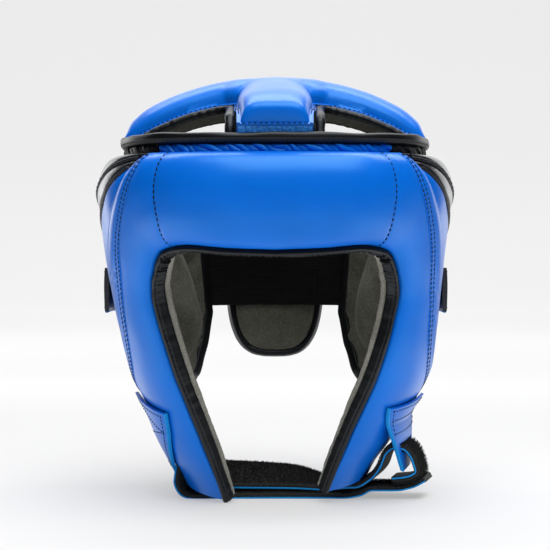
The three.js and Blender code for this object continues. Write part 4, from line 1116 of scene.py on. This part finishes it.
away = unit(hollow(*rear_place(across, up, 1.0)) - at)
far = REAR_BINDING["clear"] + REAR_BINDING["wide"]
high = REAR_FOAM + REAR_PAD["edge"] + REAR_BINDING["proud"]
section = rounded_bar(REAR_BINDING["clear"] - 0.4, far, REAR_PAD["lift"], high, 1.6)
turn = k * math.pi / 2
ring = np.stack([9 * np.cos(turn), 9 * np.sin(turn), 4.4 + 0 * turn], -1)
gather = 1 + 0.05 * rumple(ring, 1, 0)[:, None, None]
made = sweep("rear_flap_binding", at, away, out, section, binding_leather, closed=True, swell=gather)
settle(made, "black_binding", "rear_binding")

# Closure straps: doubled black leather from the rear flap round the outside of each side pad, held there by
# hook and loop, with a row of stitches along each edge.
CLOSURE = {"bottom": 108, "top": 134, "front": 91, "thick": 3, "proud": 0.9, "clear": 1.6, "rear_lift": 9}
CLOSURE_AWAY = REAR_PAD["half"] + REAR_BINDING["wide"] + CLOSURE["clear"]
CLOSURE_START = 180 - math.degrees(CLOSURE_AWAY / REAR_RADIUS)
CLOSURE_SEAM = seam_theta(CLOSURE["top"])
raw_edge = leather("raw_blue_edge", (0.004, 0.20, 0.56), (0.012, 0.27, 0.66), 0.75, 0.0002, 0.3,
                   (0.3, 0.7, 1.0))


def closure_surface(side, theta, v, more):
    """A point of a strap: it lies over the side pad and eases down to the flap's edge."""
    t = np.clip((theta - CLOSURE_SEAM) / (REAR_EDGE - CLOSURE_SEAM), 0, 1)
    over = PAD_FLOOR + side_thickness(t, CLOSURE["top"] + 0 * t) + CLOSURE["proud"]
    lift = mix(over, CLOSURE["rear_lift"], ease(theta, REAR_EDGE - 8, CLOSURE_START)) + more
    points = skin(side * theta, CLOSURE["top"] + 0 * theta, lift)
    points[..., 2] = mix(CLOSURE["bottom"], CLOSURE["top"], v)
    return points


for name, side in SIDES.items():
    theta, v = lattice(np.linspace(CLOSURE["front"], CLOSURE_START, 90), close_to_ends(16))
    crown_of = 0.5 * pillow(v, 3) + 0.25 * rumple(hollow(theta, 100 + 26 * v), 14, 15)
    face = closure_surface(side, theta, v, CLOSURE["thick"] - 0.5 + crown_of)
    back = closure_surface(side, theta, v, 0 * theta)
    made = shell(f"closure_strap_leather_{name}", face, back, black_leather)
    settle(made, "black_leather", f"closure_strap_{name}")
    theta = np.linspace(CLOSURE["front"] + 1.2, CLOSURE_START - 1, 90)
    rows = [closure_surface(side, theta, share, CLOSURE["thick"] - 0.05) for share in (0.09, 0.91)]
    at = closure_surface(side, theta, -0.012, CLOSURE["thick"] / 2)
    up = np.tile((0.0, 0.0, 1.0), (90, 1))
    away = unit(np.cross(along_route(at), up))
    section = rounded_bar(-0.9, 0.9, -0.5, 0.5, 0.3, 3)
    settle(sweep(f"closure_raw_edge_{name}", at, away, up, section, raw_edge), "black_leather")
    sew(f"closure_stitches_{name}", rows, black_thread, "black_leather", pitch=3.0, length=2.3, thick=0.5)

# Chin tabs: doubled blue leather on the outside of each cheek, with raw light-blue edges. The left one is
# sewn flat all round and across; the right one is sewn at its top, hangs free below, and has a slot for the
# strap.
CHIN_TAB = {"proud": 0.9, "cells": 8, "fine": 6}
# Rows of each tab from top to bottom: station and share of the way to the cheek's rear edge, at the front
# and at the rear of the tab, and how far the row hangs below the cheek there
LEFT_TAB = np.array([
    (6.62, 0.16, 6.46, 0.82, 0), (6.8, 0.18, 6.64, 0.84, 0), (7, 0.21, 6.86, 0.86, 0),
    (7.2, 0.27, 7.08, 0.88, 0), (7.42, 0.36, 7.32, 0.9, 0), (7.6, 0.47, 7.52, 0.92, 0),
    (7.78, 0.58, 7.72, 0.94, 0),
])
RIGHT_TAB = np.array([
    (6.52, 0.16, 6.42, 0.78, 0), (6.66, 0.18, 6.58, 0.78, 0), (6.8, 0.21, 6.74, 0.77, 0),
    (6.8, 0.25, 6.74, 0.74, 7), (6.8, 0.29, 6.74, 0.71, 12.8), (6.8, 0.33, 6.74, 0.68, 18.6),
    (6.8, 0.37, 6.74, 0.64, 24), (6.8, 0.42, 6.74, 0.59, 29.5),
])
TAB_SLOT = {"row": 4, "first": 1, "last": 6}
# Stitched lines of each tab: row and share of the way to the rear, at the start and at the end of the line
SEWN_FRONT = 0.06
SEWN_REAR = 0.92
LEFT_SEWN = [
    (0.4, SEWN_FRONT, 0.4, SEWN_REAR), (0.4, SEWN_FRONT, 5.4, SEWN_FRONT),
    (0.4, SEWN_REAR, 5.4, SEWN_REAR), (5.4, SEWN_FRONT, 5.4, SEWN_REAR),
    (1.9, SEWN_FRONT, 0.4, SEWN_REAR), (1.9, SEWN_FRONT, 3.6, SEWN_REAR),
]
RIGHT_SEWN = [
    (0.35, SEWN_FRONT, 0.35, SEWN_REAR), (0.35, SEWN_FRONT, 2.9, SEWN_FRONT),
    (0.35, SEWN_REAR, 2.9, SEWN_REAR), (1.6, SEWN_FRONT, 1.6, SEWN_REAR),
    (2.9, SEWN_FRONT, 2.9, SEWN_REAR),
]


def tab_point(side, table, row, share, more):
    """A point of a tab: row from the top, share of the way to its rear, height above the cheek."""
    rows = np.arange(len(table))
    front, front_share, rear, rear_share, drop = (np.interp(row, rows, column) for column in table.T)
    across = mix(front_share, rear_share, share)
    points = front_surface(side * mix(front, rear, share), across, CHIN_TAB["proud"] + more)
    points[..., 2] -= drop
    return points


for name, table, lines in (("left", LEFT_TAB, LEFT_SEWN), ("right", RIGHT_TAB, RIGHT_SEWN)):
    side = SIDES[name]
    fine = CHIN_TAB["fine"]
    last = len(table) - 1
    cells = CHIN_TAB["cells"]
    row, share = lattice(np.linspace(0, last, last * fine + 1), np.linspace(0, 1, cells * fine + 1))
    i, j = lattice(np.arange(last * fine) // fine, np.arange(cells * fine) // fine)
    slotted = (i == TAB_SLOT["row"]) & (j >= TAB_SLOT["first"]) & (j <= TAB_SLOT["last"])
    kept = ~slotted if name == "right" else np.full(i.shape, True)
    edge_in = np.minimum(np.minimum(share, 1 - share) * 40, 1.4) - 1.4
    face = tab_point(side, table, row, share, LEATHER - 0.35 + 0.12 * edge_in)
    back = tab_point(side, table, row, share, 0 * row)
    made = cut_shell(f"chin_tab_leather_{name}", face, back, kept, blue_leather)
    settle(made, "blue_leather", f"chin_tab_{name}")
    row = np.linspace(0, last, 60)
    front = tab_point(side, table, row, -0.012 + 0 * row, LEATHER / 2 - 0.2)
    out = unit(tab_point(side, table, row, 0 * row, LEATHER) - tab_point(side, table, row, 0 * row, 0 * row))
    away = unit(np.cross(along_route(front), out))
    section = rounded_bar(-0.7, 0.7, -1.0, 1.2, 0.3)
    settle(sweep(f"chin_tab_raw_edge_{name}", front, away, out, section, raw_edge), "blue_leather")
    k = np.linspace(0, 1, 40)
    places = [(mix(r0, r1, k), mix(s0, s1, k)) for r0, s0, r1, s1 in lines]
    sewn = [tab_point(side, table, *place, LEATHER - 0.2) for place in places]
    sew(f"chin_tab_stitches_{name}", sewn, black_thread, "blue_leather", pitch=2.6, length=2.0, thick=0.5)

# Chin strap: blue leather faced with black hook-and-loop pile. The lower layer lies under the chin from the
# left tab; the upper one climbs behind the right cheek, goes out through the slot and folds back down onto
# the lower one.
STRAP_THICK = 3.4
# Centre of the route, width, tilt and turn of the ribbon
LOWER_STRAP = np.array([
    (-50.4, -10, 19, 28, 0, 26), (-51.2, -9.5, 10, 30, 0, 26), (-48.4, -7, 3.6, 35, 4, 18),
    (-42, -5, 1.8, 42, 2, 6), (0, -4, 1.7, 43, 0, 0), (38, -5, 1.7, 42, 0, 0), (50, -8, 2.8, 36, 0, 4),
    (59, -11, 6, 31, 0, 8), (73, -13, 6.2, 30, 0, 10), (82, -14, 7.8, 29, 0, 12),
    (90, -15, 11.6, 27, 0, 12),
])
UPPER_STRAP = np.array([
    (-35, -6, 12.4, 32, 21, 0), (10, -6.5, 10.8, 32, 16, 0), (32, -8, 7.4, 30, 6, 2),
    (47, -11, 7.1, 27, 0, 6), (56.8, -16, 11.8, 24, 0, 10), (63, -20, 19, 22, 0, 14),
    (66.4, -24, 28, 19, 3, 16), (71.5, -26.5, 32.4, 18.5, 7, 17), (76.5, -27.5, 32.2, 18.5, 8, 17),
    (81, -27, 28.2, 19, 5, 17), (83.6, -25, 22.4, 20, 0, 17), (85, -24, 16.8, 20, 0, 16),
    (80, -22, 13, 21, 0, 14), (70, -20, 11.6, 22, 0, 12),
])
# Stretches of each strap: where they start and end along it, and the height of their pile
PILE = {
    "lower": {"all": (0.005, 0.995, 1.0)},
    "upper": {"inner": (0.005, 0.62, 1.0), "outer": (0.62, 0.995, 1.9)},
}
HOOK = {"thick": 0.28, "density": 2.6e6, "least": (-0.7, -0.7, 0), "most": (0.7, 0.7, 6.28)}
strap_pile = cloth("strap_pile", (0.006, 0.0062, 0.0062), (0.040, 0.041, 0.040), 0.95, 0.08, 1400.0)


def ribbon_point(table, k, across, rise):
    """A point of a strap: shares of the way along and across it, and through it from -1 to 1."""
    keyed = np.column_stack([np.linspace(0, 1, len(table)), table])
    centre = np.stack([curve(keyed, c, k) for c in (1, 2, 3)], -1)
    ahead = np.stack([curve(keyed, c, k + 0.01) - curve(keyed, c, k - 0.01) for c in (1, 2, 3)], -1)
    tilt = np.radians(curve(keyed, 5, k))
    turn = np.radians(curve(keyed, 6, k))
    wide = np.stack([np.sin(turn) * np.cos(tilt), np.cos(turn) * np.cos(tilt), np.sin(tilt)], -1)
    up = unit(np.cross(ahead, wide))
    sideways = (across - 0.5) * curve(keyed, 4, k)
    return centre + wide * sideways[..., None] + up * (rise * STRAP_THICK / 2)[..., None]


def hook_tree():
    """Short stiff hooks standing on the faces given."""
    group = bpy.data.node_groups.new("pile_hooks", "GeometryNodeTree")
    add_sockets(group, "INPUT", Faces="Geometry", Density="Float", Height="Float", Thickness="Float",
                Seed="Int", Pile="Material")
    add_sockets(group, "OUTPUT", Hooks="Geometry")
    given = group.nodes.new("NodeGroupInput").outputs
    put = group.nodes.new("NodeGroupOutput").inputs
    spots = node(group, "GeometryNodeDistributePointsOnFaces", Mesh=given["Faces"], Density=given["Density"],
                 Seed=given["Seed"]).outputs
    hook = node(group, "GeometryNodeMeshCone", {"fill_type": "NONE"}, Vertices=4, Radius_Top=0.3,
                Radius_Bottom=0.5, Depth=1.0)
    lean = node(group, "FunctionNodeRandomValue", {"data_type": "FLOAT_VECTOR"}, Min=HOOK["least"],
                Max=HOOK["most"], Seed=given["Seed"])
    tilted = node(group, "FunctionNodeRotateRotation", {"rotation_space": "LOCAL"},
                  Rotation=spots["Rotation"], Rotate_By=lean.outputs["Value"])
    size = node(group, "ShaderNodeCombineXYZ", X=given["Thickness"], Y=given["Thickness"], Z=given["Height"])
    stood = node(group, "GeometryNodeInstanceOnPoints", Points=spots["Points"],
                 Instance=hook.outputs["Mesh"], Rotation=tilted.outputs["Rotation"],
                 Scale=size.outputs["Vector"])
    real = node(group, "GeometryNodeRealizeInstances", Geometry=stood.outputs["Instances"])
    dressed = node(group, "GeometryNodeSetMaterial", Geometry=real.outputs["Geometry"],
                   Material=given["Pile"])
    group.links.new(dressed.outputs["Geometry"], put["Hooks"])
    return group


HOOKS = hook_tree()


def hooks(name, points, height, seed):
    """Pile on one side of a strap, given as a grid of points in millimetres."""
    index = np.arange(points.shape[0] * points.shape[1]).reshape(points.shape[:2])
    mesh = bpy.data.meshes.new(name)
    mesh.from_pydata((points.reshape(-1, 3) * MM).tolist(), [], grid_quads(index).tolist())
    sizes = {"Density": HOOK["density"], "Height": height * MM, "Thickness": HOOK["thick"] * MM}
    return settle(from_nodes(name, mesh, HOOKS, **sizes, Seed=seed, Pile=strap_pile), "strap_pile")


for name, table, core, seed in (("lower", LOWER_STRAP, -0.72, 3), ("upper", UPPER_STRAP, -0.45, 8)):
    k, across = lattice(np.linspace(0, 1, 170), close_to_ends(18))
    lumps = 0.12 * rumple(ribbon_point(table, k, across, 0 * k), 6, 16) * pillow(across, 8)
    crisp = 0.72 + 0.28 * pillow(across, 5)
    top = ribbon_point(table, k, across, crisp - 0.1 + lumps)
    bottom = ribbon_point(table, k, across, -1 + 0 * k)
    strap = shell(f"chin_strap_{name}_pile", top, bottom, strap_pile)
    settle(strap, "strap_pile", f"chin_strap_{name}")
    k = np.linspace(0.004, 0.996, 200)
    for edge, share in {"front": -0.004, "rear": 1.004}.items():
        at = ribbon_point(table, k, np.full(200, share), np.full(200, core))
        up = unit(ribbon_point(table, k, np.full(200, share), np.full(200, core + 1)) - at)
        away = unit(np.cross(along_route(at), up))
        section = rounded_bar(-0.45, 0.45, -0.45, 0.5, 0.2, 3)
        settle(sweep(f"chin_strap_{name}_{edge}_edge", at, away, up, section, raw_edge), "strap_pile")
    for part, (start, end, tall) in PILE[name].items():
        k, across = lattice(np.linspace(start, end, 80), np.linspace(0.03, 0.97, 14))
        hooks(f"chin_strap_{name}_hooks_{part}", ribbon_point(table, k, across, 0.86 + 0 * k), tall, seed)

low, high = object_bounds()
